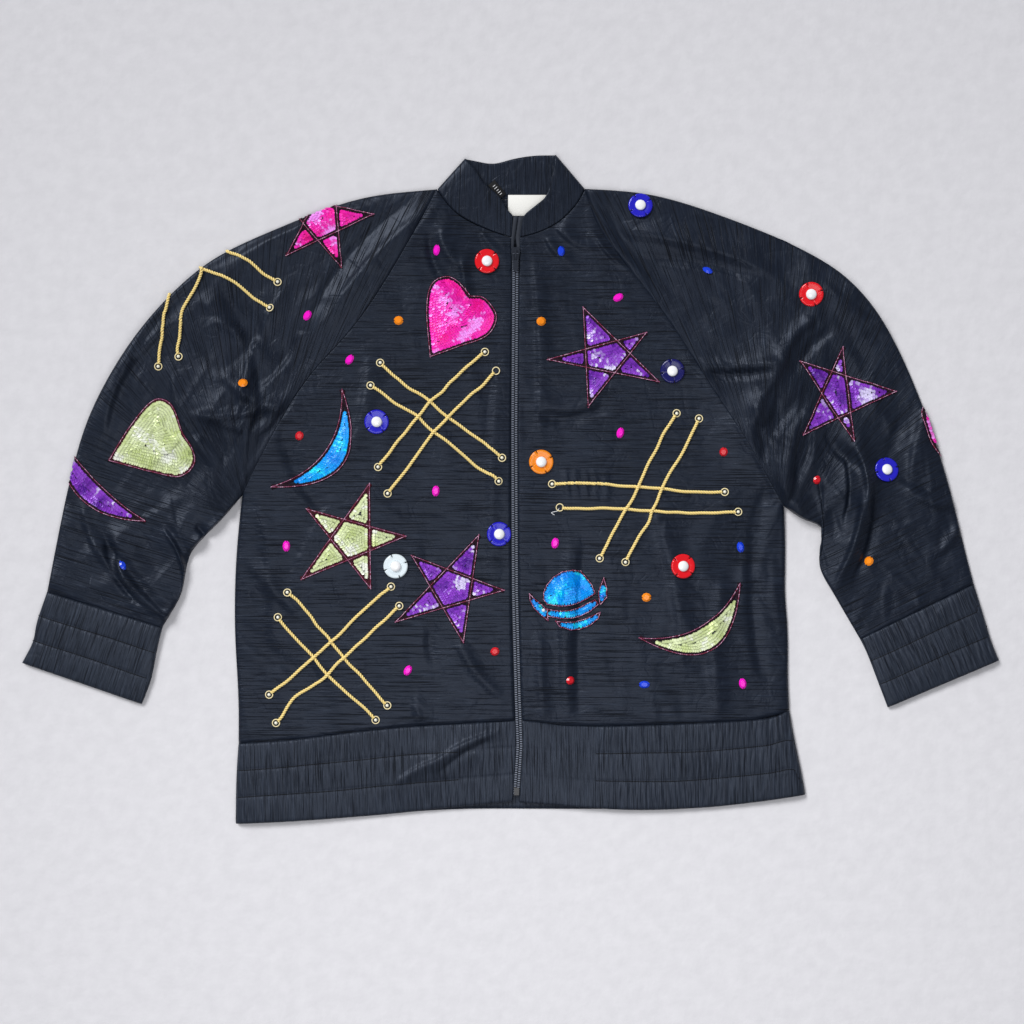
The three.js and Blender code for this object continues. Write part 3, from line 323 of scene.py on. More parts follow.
@dataclass(frozen=True)
class Scuffed:
    """A hard finish with fine scuffs, for the zip's slider, pull and box."""

    name: str
    colour: int
    metallic: float
    scuff_mm: float = 10 / 9  # coarser than real scuffs, so that they show

    def material(self, node: str) -> bpy.types.Material:
        """Builds the material.

        Args:
            node: The construction's node that gets it.

        Returns:
            The finish.
        """
        material, tree = new_material(f"{self.name}_{node}")
        place = add_node(tree, "ShaderNodeTexCoord").outputs["Object"]
        scuffs = add_node(
            tree, "ShaderNodeTexNoise", {"Vector": place, "Scale": 1 / (self.scuff_mm * MM), "Detail": 3.0}
        )
        rough = add_node(
            tree, "ShaderNodeMapRange", {"Value": scuffs.outputs["Fac"], "To Min": 0.14, "To Max": 0.32}
        )
        inputs = {
            "Base Color": linear(self.colour),
            "Metallic": self.metallic,
            "Roughness": rough.outputs["Result"],
        }
        close_material(tree, add_node(tree, "ShaderNodeBsdfPrincipled", inputs))
        return material


@dataclass(frozen=True)
class Plaster:
    """The pale surface under the garment: matt paint over a lightly trowelled ground."""

    name: str = "pale_surface"
    colour: int = 0xE0DFE3
    shade: int = 0xDBDADE
    lump_mm: float = 11
    stain_mm: float = 16
    depth_mm: float = 0.9

    def material(self) -> bpy.types.Material:
        """Builds the material.

        Returns:
            The surface's finish.
        """
        material, tree = new_material(self.name)
        place = add_node(tree, "ShaderNodeTexCoord").outputs["Object"]
        lumps = add_node(
            tree, "ShaderNodeTexNoise", {"Vector": place, "Scale": 1 / (self.lump_mm * MM), "Detail": 4.0}
        ).outputs["Fac"]
        bump = add_node(
            tree, "ShaderNodeBump", {"Strength": 0.6, "Distance": self.depth_mm * MM, "Height": lumps}
        )
        stains = add_node(
            tree, "ShaderNodeTexNoise", {"Vector": place, "Scale": 1 / (self.stain_mm * MM), "Detail": 7.0}
        ).outputs["Fac"]
        shade = add_node(
            tree, "ShaderNodeMapRange", {"Value": stains, "From Min": 0.35, "From Max": 0.65}
        ).outputs["Result"]
        colour = add_node(
            tree, "ShaderNodeMix", {0: shade, 6: linear(self.shade), 7: linear(self.colour)}, data_type="RGBA"
        ).outputs[2]
        shader = add_node(
            tree,
            "ShaderNodeBsdfPrincipled",
            {
                "Base Color": colour,
                "Roughness": 0.9,
                "Specular IOR Level": 0.2,
                "Normal": bump.outputs["Normal"],
            },
        )
        close_material(tree, shader)
        return material


FINISHES = {
    "silk": SlubSilk(),
    # The same silk cut across and gathered: closer slubs, and its gap, ground and slub colours painted lighter than the
    # laid silk's for the light that the gathers catch.
    "gathered": SlubSilk(
        "gathered_silk_painted_light", gap=0x080A10, ground=0x171C26, slub=0x333A47, yarn_mm=1.2, gap_mm=(52, 1.1),
        slub_mm=(60, 1.6), crinkle=0.15
    ),
    # Foil-backed plastic sequins: they mirror the light in patches.
    "foil": Tinted("foil_sequins", roughness=0.34, metallic=0.1, coat=0.12, specular=0.25),
    # Metallic yarn with a soft glitter.
    "yarn": Tinted("metallic_yarn", roughness=0.42, metallic=0.05, grain_mm=0.6),
    # Dull cotton or satin thread.
    "thread": Tinted("thread", roughness=0.7, specular=0.3, grain_mm=0.8),
    # Clear-coated cast plastic of the jewels.
    "cast": Tinted("cast_plastic", roughness=0.2, coat=0.35, specular=0.35),
    "pearl": Tinted("pearl_lacquer", roughness=0.22, coat=0.8, specular=0.6),
    # Moulded acetal of the zip's teeth, a dull plastic with small highlights.
    "acetal": Tinted("moulded_acetal", roughness=0.38, specular=0.5),
    # Satin of the neck label.
    "satin": Tinted("label_satin", roughness=0.5, specular=0.4, grain_mm=0.5),
}
# The construction's hard pieces: dark lacquer over metal, with a soft glint, and black moulded plastic.
LACQUERED_METAL = Scuffed("lacquer", 0x3C414C, 0.7)
MOULDED_BOX = Scuffed("acetal", 0x1A1C22, 0.0)
_made: dict[str, bpy.types.Material] = {}


def finish(name: str) -> bpy.types.Material:
    """The material of a finish, built once."""
    if name not in _made:
        _made[name] = FINISHES[name].material()
    return _made[name]


def to_object(name: str, mesh: bpy.types.Mesh, material: str, smooth: bool = True) -> bpy.types.Object:
    """Puts a mesh in the scene.

    Args:
        name: The piece's name.
        mesh: Its mesh, already in place.
        material: The finish that it gets.
        smooth: Whether it is shaded smooth.

    Returns:
        The object.
    """
    piece = bpy.data.objects.new(name, mesh)
    bpy.context.scene.collection.objects.link(piece)
    mesh.materials.clear()
    mesh.materials.append(finish(material))
    mesh.polygons.foreach_set("use_smooth", np.full(len(mesh.polygons), smooth))
    return piece


def place(piece: bpy.types.Object, slot: str, replaced: tuple[str, ...] = (), body: str = BODY) -> bpy.types.Object:
    """Attaches a piece to the body that it rides on, and hides the construction's nodes that it stands for.

    Args:
        piece: The finished piece.
        slot: The record's material slot; not used.
        replaced: The construction's nodes that it replaces.
        body: The body that carries it.

    Returns:
        The piece.
    """
    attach(piece, body)
    if replaced:
        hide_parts(*replaced)
    faces = len(piece.data.polygons)
    log.info("%s: %d faces, on %s", piece.name, faces, body)
    return piece


def from_bmesh(bm: bmesh.types.BMesh, name: str) -> bpy.types.Mesh:
    """Writes a bmesh into a new mesh and frees it."""
    mesh = bpy.data.meshes.new(name)
    bm.to_mesh(mesh)
    bm.free()
    return mesh


def coordinates(mesh: bpy.types.Mesh) -> np.ndarray:
    """A mesh's vertices as rows of x, y and z, in metres."""
    co = np.empty(len(mesh.vertices) * 3)
    mesh.vertices.foreach_get("co", co)
    return co.reshape(-1, 3)


def normals(mesh: bpy.types.Mesh) -> np.ndarray:
    """A mesh's vertex normals as rows."""
    out = np.empty(len(mesh.vertices) * 3, dtype=np.float32)
    mesh.vertex_normals.foreach_get("vector", out)
    return out.reshape(-1, 3).astype(float)


def set_coordinates(mesh: bpy.types.Mesh, co: np.ndarray) -> None:
    """Moves a mesh's vertices to the given rows."""
    mesh.vertices.foreach_set("co", co.ravel())
    mesh.update()


def paint(mesh: bpy.types.Mesh, tints: np.ndarray | tuple) -> None:
    """Keeps one linear colour for each vertex as the mesh's tint.

    Args:
        mesh: The mesh.
        tints: A row of four channels for each vertex, or one row for all.
    """
    attribute = mesh.color_attributes.new("tint", "FLOAT_COLOR", "POINT")
    rows = np.broadcast_to(np.asarray(tints, dtype=np.float32), (len(mesh.vertices), 4))
    attribute.data.foreach_set("color", np.ascontiguousarray(rows).ravel())


def smooth_step(low: float, high: float, value: np.ndarray) -> np.ndarray:
    """A smooth rise from 0 at low to 1 at high."""
    share = np.clip((value - low) / (high - low), 0, 1)
    return share * share * (3 - 2 * share)


@dataclass(frozen=True)
class Crease:
    """A soft ridge of the cloth, or a trough where its rise is negative, along a bowed line in plan. Sizes are mm."""

    x1: float
    y1: float
    x2: float
    y2: float
    bow: float
    width: float
    rise: float

    def lift(self, x: np.ndarray, y: np.ndarray) -> np.ndarray:
        """How far it lifts the cloth at places in plan.

        Args:
            x: Places, mm.
            y: Places, mm.

        Returns:
            The lift at each, mm.
        """
        dx, dy = self.x2 - self.x1, self.y2 - self.y1
        length = math.hypot(dx, dy)
        along = ((x - self.x1) * dx + (y - self.y1) * dy) / (length * length)
        across = ((x - self.x1) * dy - (y - self.y1) * dx) / length
        inside = np.clip(along, 0, 1)
        across = across - self.bow * 4 * inside * (1 - inside)
        fade = np.exp(-((np.maximum(0, np.abs(along - 0.5) - 0.5) * length / (1.6 * self.width)) ** 2))
        taper = 0.35 + 0.65 * np.sqrt(np.clip(4 * inside * (1 - inside), 0, 1))
        steep = np.where(across > 0, 0.45, 1.35)  # one flank of a fold is steeper than the other
        shape = np.exp(-((across / (self.width * steep)) ** 2))
        return self.rise * shape * fade * taper


def creases(rows: list[tuple], strength: float) -> list[Crease]:
    """Creases from rows of x1, y1, x2, y2, bow, width and rise, all rises times a strength."""
    return [Crease(*row[:-1], row[-1] * strength) for row in rows]


# The creases that show in the laid garment: x1, y1, x2, y2, bow, width, rise.
PLACED = creases([
    (-326, 76, -279, 61, 0, 6, 2.0), (-300, 118, -232, 78, 6, 8, 2.4), (-318, 182, -262, 150, -8, 7, -2.2),
    (-262, 110, -226, 160, 5, 8, -2.0), (-240, 205, -286, 60, 10, 7, 2.0), (-298, 200, -262, 60, -12, 6, -2.0),
    (-352, 120, -300, 20, 14, 9, 2.2), (-412, -58, -356, -134, 16, 6, 2.6), (-424, -52, -370, -128, 14, 5, -2.4),
    (-448, -20, -398, -100, 10, 6, 2.0), (-334, -60, -300, -30, 4, 5, 2.2), (-360, -40, -336, -100, -6, 5, -2.2),
    (-425, 60, -360, 170, -14, 10, 2.2), (-90, 290, -190, 180, 8, 8, 2.2), (-110, 300, -205, 190, 10, 6, -1.8),
    (-150, 296, -300, 232, 8, 10, 2.0), (-330, 215, -400, 120, 8, 9, -1.8),
    (105, 285, 165, 215, 8, 7, -2.4), (120, 268, 262, 232, -6, 9, 2.4), (150, 240, 250, 222, -4, 6, -2.2),
    (92, 262, 130, 232, 5, 6, 1.8), (197, 129, 284, 131, 3, 5, 2.6), (190, 120, 270, 122, 3, 4, -2.4),
    (284, 131, 318, 178, -5, 7, 2.6), (298, 122, 340, 168, -4, 6, -2.2), (252, 52, 284, 126, -6, 7, 2.4),
    (262, 20, 300, 90, -6, 6, -2.2), (362, 42, 372, -18, -5, 6, 2.8), (352, 30, 350, -30, -4, 5, -2.4),
    (368, 0, 344, -90, -6, 6, 2.8), (380, -10, 362, -88, -6, 5, -2.2), (415, -2, 468, -20, 4, 5, 2.2),
    (408, 12, 462, -6, 3, 4, -1.8), (446, -68, 470, -42, 3, 5, 2.0), (330, 60, 372, 20, 6, 8, -2.2),
    (312, 86, 290, 20, 6, 8, 2.2), (419, 80, 398, 44, 4, 6, -1.8), (395, 170, 330, 215, -6, 9, 2.0),
    (440, 90, 420, 10, 5, 8, 1.8),
    (36, 88, 95, 94, 8, 6, 2.0), (30, 76, 98, 84, 8, 4, -1.8), (62, -60, 58, -230, 4, 8, 1.8),
    (76, -60, 70, -230, 3, 6, -1.5), (30, -150, 34, -236, 2, 6, 1.5), (268, 0, 252, -70, 4, 7, -1.8),
    (150, -20, 178, -180, -8, 10, 1.5), (220, -100, 214, -220, 4, 8, 1.4), (252, -60, 262, -200, 4, 7, -1.4),
    (-286, -143, -206, -200, 6, 6, -2.0), (-270, -80, -220, -130, 4, 7, 1.5), (-54, -163, -14, -215, 4, 5, 2.0),
    (-85, -146, -83, -180, 2, 5, -1.8), (-100, -220, -96, -245, 0, 5, 1.5), (-74, 270, -52, 232, 5, 6, 2.2),
    (-86, 262, -66, 214, 5, 5, -2.0), (-50, 240, -44, 200, 2, 5, 1.6), (-150, 130, -170, 40, -6, 8, 1.6),
    (-240, 60, -200, -20, 6, 9, -1.6), (-262, -20, -250, -160, -4, 8, 1.4), (-190, -20, -230, -110, 5, 8, 1.2),
    (-14, 120, -20, -90, 3, 7, 1.2), (26, 230, 30, 60, -3, 7, 1.2), (-30, 270, -12, 246, 2, 4, 1.4),
    (38, 262, 60, 240, 3, 5, 1.6), (48, 276, 90, 250, 5, 6, 1.6), (-18, -255, -76, -283, 3, 5, 1.6),
    (-76, -283, -118, -306, 2, 5, 1.3), (-22, -262, -70, -292, 3, 4, -1.4),
    (-299, 199, -241, 141, 4, 15, -2.6), (-325, 76, -250, 86, 5, 5, 2.4), (-320, 194, -250, 144, 6, 7, 1.8),
    (-360, -46, -356, -136, -17, 5, 2.4), (-424, -53, -362, -128, 3, 5, -2.2), (-329, -39, -310, -58, 0, 4, -2.4),
    (252, 94, 292, -32, -8, 13, 2.4), (58, 17, 60, -9, 1, 2.8, 1.2), (68, 19, 69, -11, 1, 2.6, 1.0),
    (78, 17, 79, -9, 0, 2.8, 1.1), (88, 18, 88, -12, -1, 2.6, 1.0), (99, 16, 98, -10, -1, 3, 0.9),
    (-290, 40, -268, 96, -5, 5, -2.2), (-276, 36, -262, 88, -4, 4, 2.0), (-312, 20, -290, -28, 6, 6, 2.2),
    (-340, 60, -296, 28, -8, 8, -2.0), (-262, 60, -232, 84, 3, 5, 1.4), (300, 20, 286, -20, -4, 5, -2.0),
    (318, 60, 300, 4, -6, 6, 2.2), (280, 100, 262, 60, -4, 6, -2.0),
], strength=2.0)


@dataclass(frozen=True)
class Scatter:
    """A part of the garment where smaller creases lie at random. Sizes are mm, turns degrees."""

    x: float
    y: float
    half_x: float
    half_y: float
    count: int
    turn: float
    spread: float
    rise: float


SCATTERS = [
    Scatter(-150, 30, 140, 260, 34, 0, 24, 0.55),
    Scatter(150, 30, 140, 260, 38, 4, 24, 0.6),
    Scatter(-150, -150, 130, 90, 20, 84, 18, 0.8),
    Scatter(150, -150, 130, 90, 22, 92, 18, 0.8),
    Scatter(-290, 190, 110, 100, 22, 42, 26, 0.9),
    Scatter(-420, 20, 70, 150, 26, 68, 40, 1.0),
    Scatter(-330, 60, 60, 130, 22, 100, 40, 1.3),
    Scatter(290, 200, 110, 90, 22, -40, 26, 0.9),
    Scatter(420, 20, 70, 160, 26, -66, 40, 1.0),
    Scatter(330, 60, 60, 120, 22, 70, 40, 1.3),
]


def scattered_creases(seed: int = 11) -> list[Crease]:
    """Small creases of uneven length, depth and direction over each part of the garment."""
    rng = random.Random(seed)
    rows = []
    for part in SCATTERS:
        for _ in range(part.count):
            x = part.x + rng.uniform(-1, 1) * part.half_x
            y = part.y + rng.uniform(-1, 1) * part.half_y
            turn = math.radians(part.turn + rng.gauss(0, 1) * part.spread)
            half = rng.uniform(12, 38)
            dx, dy = half * math.cos(turn), half * math.sin(turn)
            rise = part.rise * rng.uniform(0.4, 1.3) * rng.choice((-1, 1, 1))
            rows.append(Crease(x - dx, y - dy, x + dx, y + dy, rng.gauss(0, 2.5), rng.uniform(3.2, 7.5), rise))
    return rows


ALL_CREASES = PLACED + scattered_creases()


@dataclass(frozen=True)
class Crumple:
    """Crushed cloth: soft hollows that meet in sharper, crooked ridges."""

    cell_mm: float
    depth_mm: float
    stretch: float = 1.0  # how much longer the hollows are along the turn
    turn: float = 90.0  # degrees
    seed: int = 5

    def lift(self, x: np.ndarray, y: np.ndarray) -> np.ndarray:
        """How far it lifts the cloth at places in plan.

        Args:
            x: Places, mm.
            y: Places, mm.

        Returns:
            The lift at each, mm.
        """
        angle = math.radians(self.turn)
        sway = 0.35 * self.cell_mm
        wx = x + sway * np.sin(y / (1.3 * self.cell_mm) + self.seed) + sway * np.sin((x + y) / (1.9 * self.cell_mm))
        wy = y + sway * np.sin(x / (1.1 * self.cell_mm) + 2 * self.seed) + sway * np.sin((x - y) / (2.3 * self.cell_mm))
        along = (wx * math.cos(angle) + wy * math.sin(angle)) / (self.cell_mm * self.stretch)
        across = (-wx * math.sin(angle) + wy * math.cos(angle)) / self.cell_mm
        column, row = np.floor(along), np.floor(across)
        nearest = np.full_like(x, 9.0)
        second = np.full_like(x, 9.0)
        for i in (-1, 0, 1):
            for j in (-1, 0, 1):
                a, b = self._jitter(column + i, row + j)
                gap = np.hypot(along - column - i - a, across - row - j - b)
                second = np.where(gap < nearest, nearest, np.minimum(second, gap))
                nearest = np.minimum(nearest, gap)
        ridge = 0.5 - np.minimum(second - nearest, 0.55) / 0.55
        fade = 0.55 + 0.45 * np.sin(0.9 * along + 0.7 * across)
        return self.depth_mm * ridge * fade

    def _jitter(self, i: np.ndarray, j: np.ndarray) -> tuple[np.ndarray, np.ndarray]:
        """Two fixed random shares for each cell."""
        a = np.sin(i * 127.1 + j * 311.7 + self.seed * 17.3) * 43758.5453
        b = np.sin(i * 269.5 + j * 183.3 + self.seed * 29.1) * 43758.5453
        return a - np.floor(a), b - np.floor(b)


def crease_lift(x: np.ndarray, y: np.ndarray) -> np.ndarray:
    """The lift of every crease at places in plan, mm."""
    lift = np.zeros_like(x)
    for crease in ALL_CREASES:
        reach = 4 * crease.width + abs(crease.bow) + 4
        near = (
            (x > min(crease.x1, crease.x2) - reach) & (x < max(crease.x1, crease.x2) + reach)
            & (y > min(crease.y1, crease.y2) - reach) & (y < max(crease.y1, crease.y2) + reach)
        )
        if near.any():
            lift[near] += crease.lift(x[near], y[near])
    return lift


WALLS = (CLOTH, CLOTH + 0.9)  # the wall's thickness on plain cloth and on a gather, mm


def is_rim(edge: bmesh.types.BMEdge) -> bool:
    """Whether an edge crosses the wall's thickness, between its outer and its inner face."""
    if not any(abs(edge.calc_length() / MM - wall) < 0.03 for wall in WALLS):
        return False
    run = (edge.verts[1].co - edge.verts[0].co).normalized()
    return any(abs(run.dot(vertex.normal)) > 0.08 for vertex in edge.verts)


def outer_sheet(node: str, layer: Layer) -> bmesh.types.BMesh:
    """The outer face of a node's wall, as one open sheet of quads.

    Args:
        node: The construction's node.
        layer: Which side of it is outside.

    Returns:
        The sheet.
    """
    bm = bmesh.new()
    bm.from_mesh(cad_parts[node].data)
    bmesh.ops.remove_doubles(bm, verts=bm.verts, dist=0.02 * MM)
    bm.normal_update()
    rim_edges = {edge for edge in bm.edges if is_rim(edge)}
    rims = [face for face in bm.faces if rim_edges.intersection(face.edges)]
    bmesh.ops.delete(bm, geom=rims, context="FACES_ONLY")
    loose = [edge for edge in bm.edges if not edge.link_faces]
    bmesh.ops.delete(bm, geom=loose, context="EDGES")
    parts = connected_parts(bm)
    sign = -1 if layer is Layer.LOWER else 1
    parts.sort(key=lambda part: -len(part))
    outer = max(parts[:2], key=lambda part: max(sign * v.co.z for v in part))
    others = [v for v in bm.verts if v not in outer]
    bmesh.ops.delete(bm, geom=others, context="VERTS")
    flat = math.radians(179)
    bmesh.ops.join_triangles(bm, faces=bm.faces, angle_face_threshold=flat, angle_shape_threshold=flat)
    return bm


def connected_parts(bm: bmesh.types.BMesh) -> list[set]:
    """The sets of vertices that are joined to each other by edges."""
    unseen = set(bm.verts)
    parts = []
    while unseen:
        part, queue = set(), [unseen.pop()]
        while queue:
            vertex = queue.pop()
            part.add(vertex)
            for edge in vertex.link_edges:
                other = edge.other_vert(vertex)
                if other in unseen:
                    unseen.discard(other)
                    queue.append(other)
        parts.append(part)
    return parts


def subdivided(mesh: bpy.types.Mesh, levels: int) -> bpy.types.Mesh:
    """A smooth, finer copy of a mesh.

    Args:
        mesh: The coarse mesh.
        levels: How many times each face is divided.

    Returns:
        The finer mesh.
    """
    holder = bpy.data.objects.new("holder", mesh)
    bpy.context.scene.collection.objects.link(holder)
    modifier = holder.modifiers.new("fine", "SUBSURF")
    modifier.levels = modifier.render_levels = levels
    modifier.boundary_smooth = "PRESERVE_CORNERS"
    graph = bpy.context.evaluated_depsgraph_get()
    fine = bpy.data.meshes.new_from_object(holder.evaluated_get(graph))
    bpy.data.objects.remove(holder)
    return fine


def rim_distance(mesh: bpy.types.Mesh) -> np.ndarray:
    """Each vertex's distance in mm from the open edges of a sheet."""
    bm = bmesh.new()
    bm.from_mesh(mesh)
    rim = np.array([v.co[:] for v in bm.verts if v.is_boundary])
    bm.free()
    co = coordinates(mesh)
    best = np.full(len(co), np.inf)
    for start in range(0, len(rim), 64):
        gap = co[:, None, :] - rim[None, start:start + 64, :]
        best = np.minimum(best, (gap * gap).sum(2).min(1))
    return np.sqrt(best) / MM


@dataclass
class ClothPiece:
    """A panel of the garment: a thin shell on its solid's form, finer and with the creases of the cloth."""

    node: str
    layer: Layer
    weft: Weft
    flat_mm: tuple[float, float]
    area_m2: float
    detail: int = 3
    cloth: str = "silk"
    arm_pivot: tuple[float, float] = (0, 0)  # the underarm, mm; a sleeve's yarns fan round it
    arm_turn: tuple[float, float] = (0, 0)  # the yarns' direction at the raglan seam and down to the cuff, degrees
    thickness_mm: float = 0.9
    spread_mm: float = 0.4
    crumples: tuple[Crumple, ...] = ()
    held: str = "laid"
    sheet_mesh: bpy.types.Mesh | None = None

    def build(self) -> bpy.types.Object:
        """Returns:
            The finished piece.
        """
        mesh = subdivided(from_bmesh(outer_sheet(self.node, self.layer), self.node), self.detail)
        self.spread(mesh)
        self.shape(mesh)
        self.lay_weft(mesh)
        self.sheet_mesh = mesh.copy()
        piece = to_object("silk_" + self.node, mesh, self.cloth)
        wall = piece.modifiers.new("wall", "SOLIDIFY")
        wall.thickness = self.thickness_mm * MM
        wall.offset = -1
        return place(piece, "silk", (self.node,))

    def spread(self, mesh: bpy.types.Mesh) -> None:
        """Moves the open edges out a little, so that neighbours meet in a close seam.

        Args:
            mesh: The fine sheet, changed in place.
        """
        bm = bmesh.new()
        bm.from_mesh(mesh)
        moves = []
        for vertex in bm.verts:
            if vertex.is_boundary:
                inner = [edge.other_vert(vertex).co for edge in vertex.link_edges if not edge.is_boundary]
                if inner:
                    out = vertex.co - sum(inner, Vector()) / len(inner)
                    moves.append((vertex, out.normalized() * self.spread_mm * MM))
        for vertex, move in moves:
            vertex.co += move
        bm.to_mesh(mesh)
        bm.free()

    def shape(self, mesh: bpy.types.Mesh) -> None:
        """Lifts the cloth into its creases, and rolls it down into its seams.

        Args:
            mesh: The fine sheet, changed in place.
        """
        if self.layer is Layer.LOWER:
            return
        co = coordinates(mesh)
        up = smooth_step(0.15, 0.7, normals(mesh)[:, 2])
        x, y = co[:, 0] / MM, co[:, 1] / MM
        rim = rim_distance(mesh)
        lift = crease_lift(x, y)
        for crumple in self.crumples:
            lift += crumple.lift(x, y)
        lift *= smooth_step(0, 9, rim)
        lift += self.own_lift(x, y)
        lift -= 0.25 * np.exp(-((rim / 1.6) ** 2))
        top = co[:, 2] + lift * up * MM
        co[:, 2] = np.where(up > 0, np.maximum(top, np.minimum(co[:, 2], LEAST_TOP * MM)), co[:, 2])
        set_coordinates(mesh, co)

    def own_lift(self, x: np.ndarray, y: np.ndarray) -> np.ndarray:
        """The lift that only this kind of piece has, mm."""
        return np.zeros_like(x)

    def lay_weft(self, mesh: bpy.types.Mesh) -> None:
        """Writes the yarn's coordinates as the UV map that the silk reads.

        Args:
            mesh: The fine sheet.
        """
        co = coordinates(mesh)
        x, y = co[:, 0], co[:, 1]
        if self.weft is Weft.ARM:
            u, v = self.fanned(x, y)
        elif self.weft is Weft.UPRIGHT:
            u, v = self.upright(x, y)
        else:
            u, v = x, y
        u = u + 2.0 * (co[:, 2] < 2 * MM)
        layer = mesh.uv_layers.new(name="thread")
        corners = np.empty(len(mesh.loops), dtype=np.int32)
        mesh.loops.foreach_get("vertex_index", corners)
        layer.data.foreach_set("uv", np.stack([u[corners], v[corners]], 1).ravel())

    def upright(self, x: np.ndarray, y: np.ndarray) -> tuple[np.ndarray, np.ndarray]:
        """Yarn coordinates of a piece whose slubs run up it, in metres."""
        return y, x

    def fanned(self, x: np.ndarray, y: np.ndarray) -> tuple[np.ndarray, np.ndarray]:
        """Yarn coordinates that fan round the underarm from the raglan seam, then run straight across to the cuff.

        Args:
            x: Places, in metres.
            y: Places, in metres.

        Returns:
            The coordinates along and across the yarn, in metres.
        """
        seam, cuff = (math.radians(turn) for turn in self.arm_turn)
        dx, dy = x - self.arm_pivot[0] * MM, y - self.arm_pivot[1] * MM
        reach = np.hypot(dx, dy)
        turned = (np.arctan2(dy, dx) - cuff + math.pi) % (2 * math.pi) - math.pi
        fan = turned * (seam - cuff) > 0
        return np.where(fan, reach, reach * np.cos(turned)), np.where(fan, 0.21 * turned, reach * np.sin(turned))


@dataclass
class GatheredBand(ClothPiece):
    """A band gathered over three casings of elastic: fine pleats between the stitched rows."""

    turn: float = 0  # degrees from the band's length to the X axis
    cloth: str = "gathered"
    pleat_mm: float = 6.2
    pleat_rise: float = 0.42
    channels: int = 3
    row_span: tuple[float, float] = (-1e6, 1e6)  # where the stitched rows run along the band, mm
    plain_from: float = 1e6  # no gathers past this place along the band
    plain_to: float = 1e6
    seed: int = 3
    rows: dict = field(default_factory=dict)

    def along_and_down(self, x: np.ndarray, y: np.ndarray) -> tuple[np.ndarray, np.ndarray]:
        """Places along the band, in mm, and down it, from 0 at its seam to 1 at its hem.

        Args:
            x: Places, mm.
            y: Places, mm.

        Returns:
            Both coordinates.
        """
        turn = math.radians(self.turn)
        along = x * math.cos(turn) + y * math.sin(turn)
        height = -x * math.sin(turn) + y * math.cos(turn)
        if not self.rows:
            bins = np.linspace(along.min(), along.max(), 40)
            where = np.clip(np.digitize(along, bins) - 1, 0, len(bins) - 2)
            centres = (bins[1:] + bins[:-1]) / 2
            tops, bottoms = (
                np.array([reach(height[where == i]) if (where == i).any() else np.nan for i in range(len(centres))])
                for reach in (np.max, np.min)
            )
            known = ~np.isnan(tops)
            self.rows = {"at": centres[known], "top": tops[known], "bottom": bottoms[known]}
        top = np.interp(along, self.rows["at"], self.rows["top"])
        bottom = np.interp(along, self.rows["at"], self.rows["bottom"])
        return along, np.clip((top - height) / (top - bottom), 0, 1)

    def own_lift(self, x: np.ndarray, y: np.ndarray) -> np.ndarray:
        """Pleats and casings, mm."""
        along, down = self.along_and_down(x, y)
        channel = np.minimum((down * self.channels).astype(int), self.channels - 1)
        within = down * self.channels - channel
        puff = np.sin(np.pi * within) ** 0.8
        wander = 0.22 * np.sin(along / 17.0 + channel * 2.1 + self.seed) + 0.16 * np.sin(along / 6.1 + channel * 4.3)
        phase = along / self.pleat_mm + wander + 0.12 * np.sin(5 * within + along / 23.0)
        size = 0.65 + 0.35 * np.sin(along / 29.0 + channel * 1.7 + self.seed)
        pleats = size * (np.cos(2 * np.pi * phase) + 0.6 * np.cos(2 * np.pi * (1.73 * phase + channel * 0.3)))
        gathered = smooth_step(self.plain_from, self.plain_from + 12, along)
        gathered = 1 - gathered * (1 - smooth_step(self.plain_to - 12, self.plain_to, along))
        edge = smooth_step(0, 14, along - along.min()) * smooth_step(0, 14, along.max() - along)
        casing = 0.35 * puff - 0.6 * np.exp(-((np.minimum(within, 1 - within) * 26 / 1.4) ** 2))
        return casing * (0.4 + 0.6 * gathered) + self.pleat_rise * pleats * (0.12 + 0.88 * puff) * gathered * edge

    def stitch(self, top: "Top") -> None:
        """Sews the dark rows between the casings.

        Args:
            top: The cloth's upper face.
        """
        turn = math.radians(self.turn)
        rng = random.Random(self.seed)
        known = self.rows["at"]
        low, high = max(self.row_span[0], known[0]), min(self.row_span[1], known[-1])
        seats = []
        for row in range(1, self.channels):
            for along in np.arange(low, high, 2.3):
                upper, lower = (np.interp(along, known, self.rows[end]) for end in ("top", "bottom"))
                height = upper + (lower - upper) * row / self.channels + 0.5 * math.sin(along / 19 + row)
                x = along * math.cos(turn) - height * math.sin(turn)
                y = along * math.sin(turn) + height * math.cos(turn)
                seat = top.frame_at(x, y, turn + rng.gauss(0, 0.15), rng.uniform(0.0, 0.3))
                if seat is not None:
                    seats.append(seat)
        sew_copies(self.node + "_rows", stitch_template(2.6, 1.1), seats, 0x05060A, "thread", "silk")

    def upright(self, x: np.ndarray, y: np.ndarray) -> tuple[np.ndarray, np.ndarray]:
        """Yarn coordinates with the slubs up the band, in metres."""
        turn = math.radians(self.turn)
        return -x * math.sin(turn) + y * math.cos(turn), x * math.cos(turn) + y * math.sin(turn)


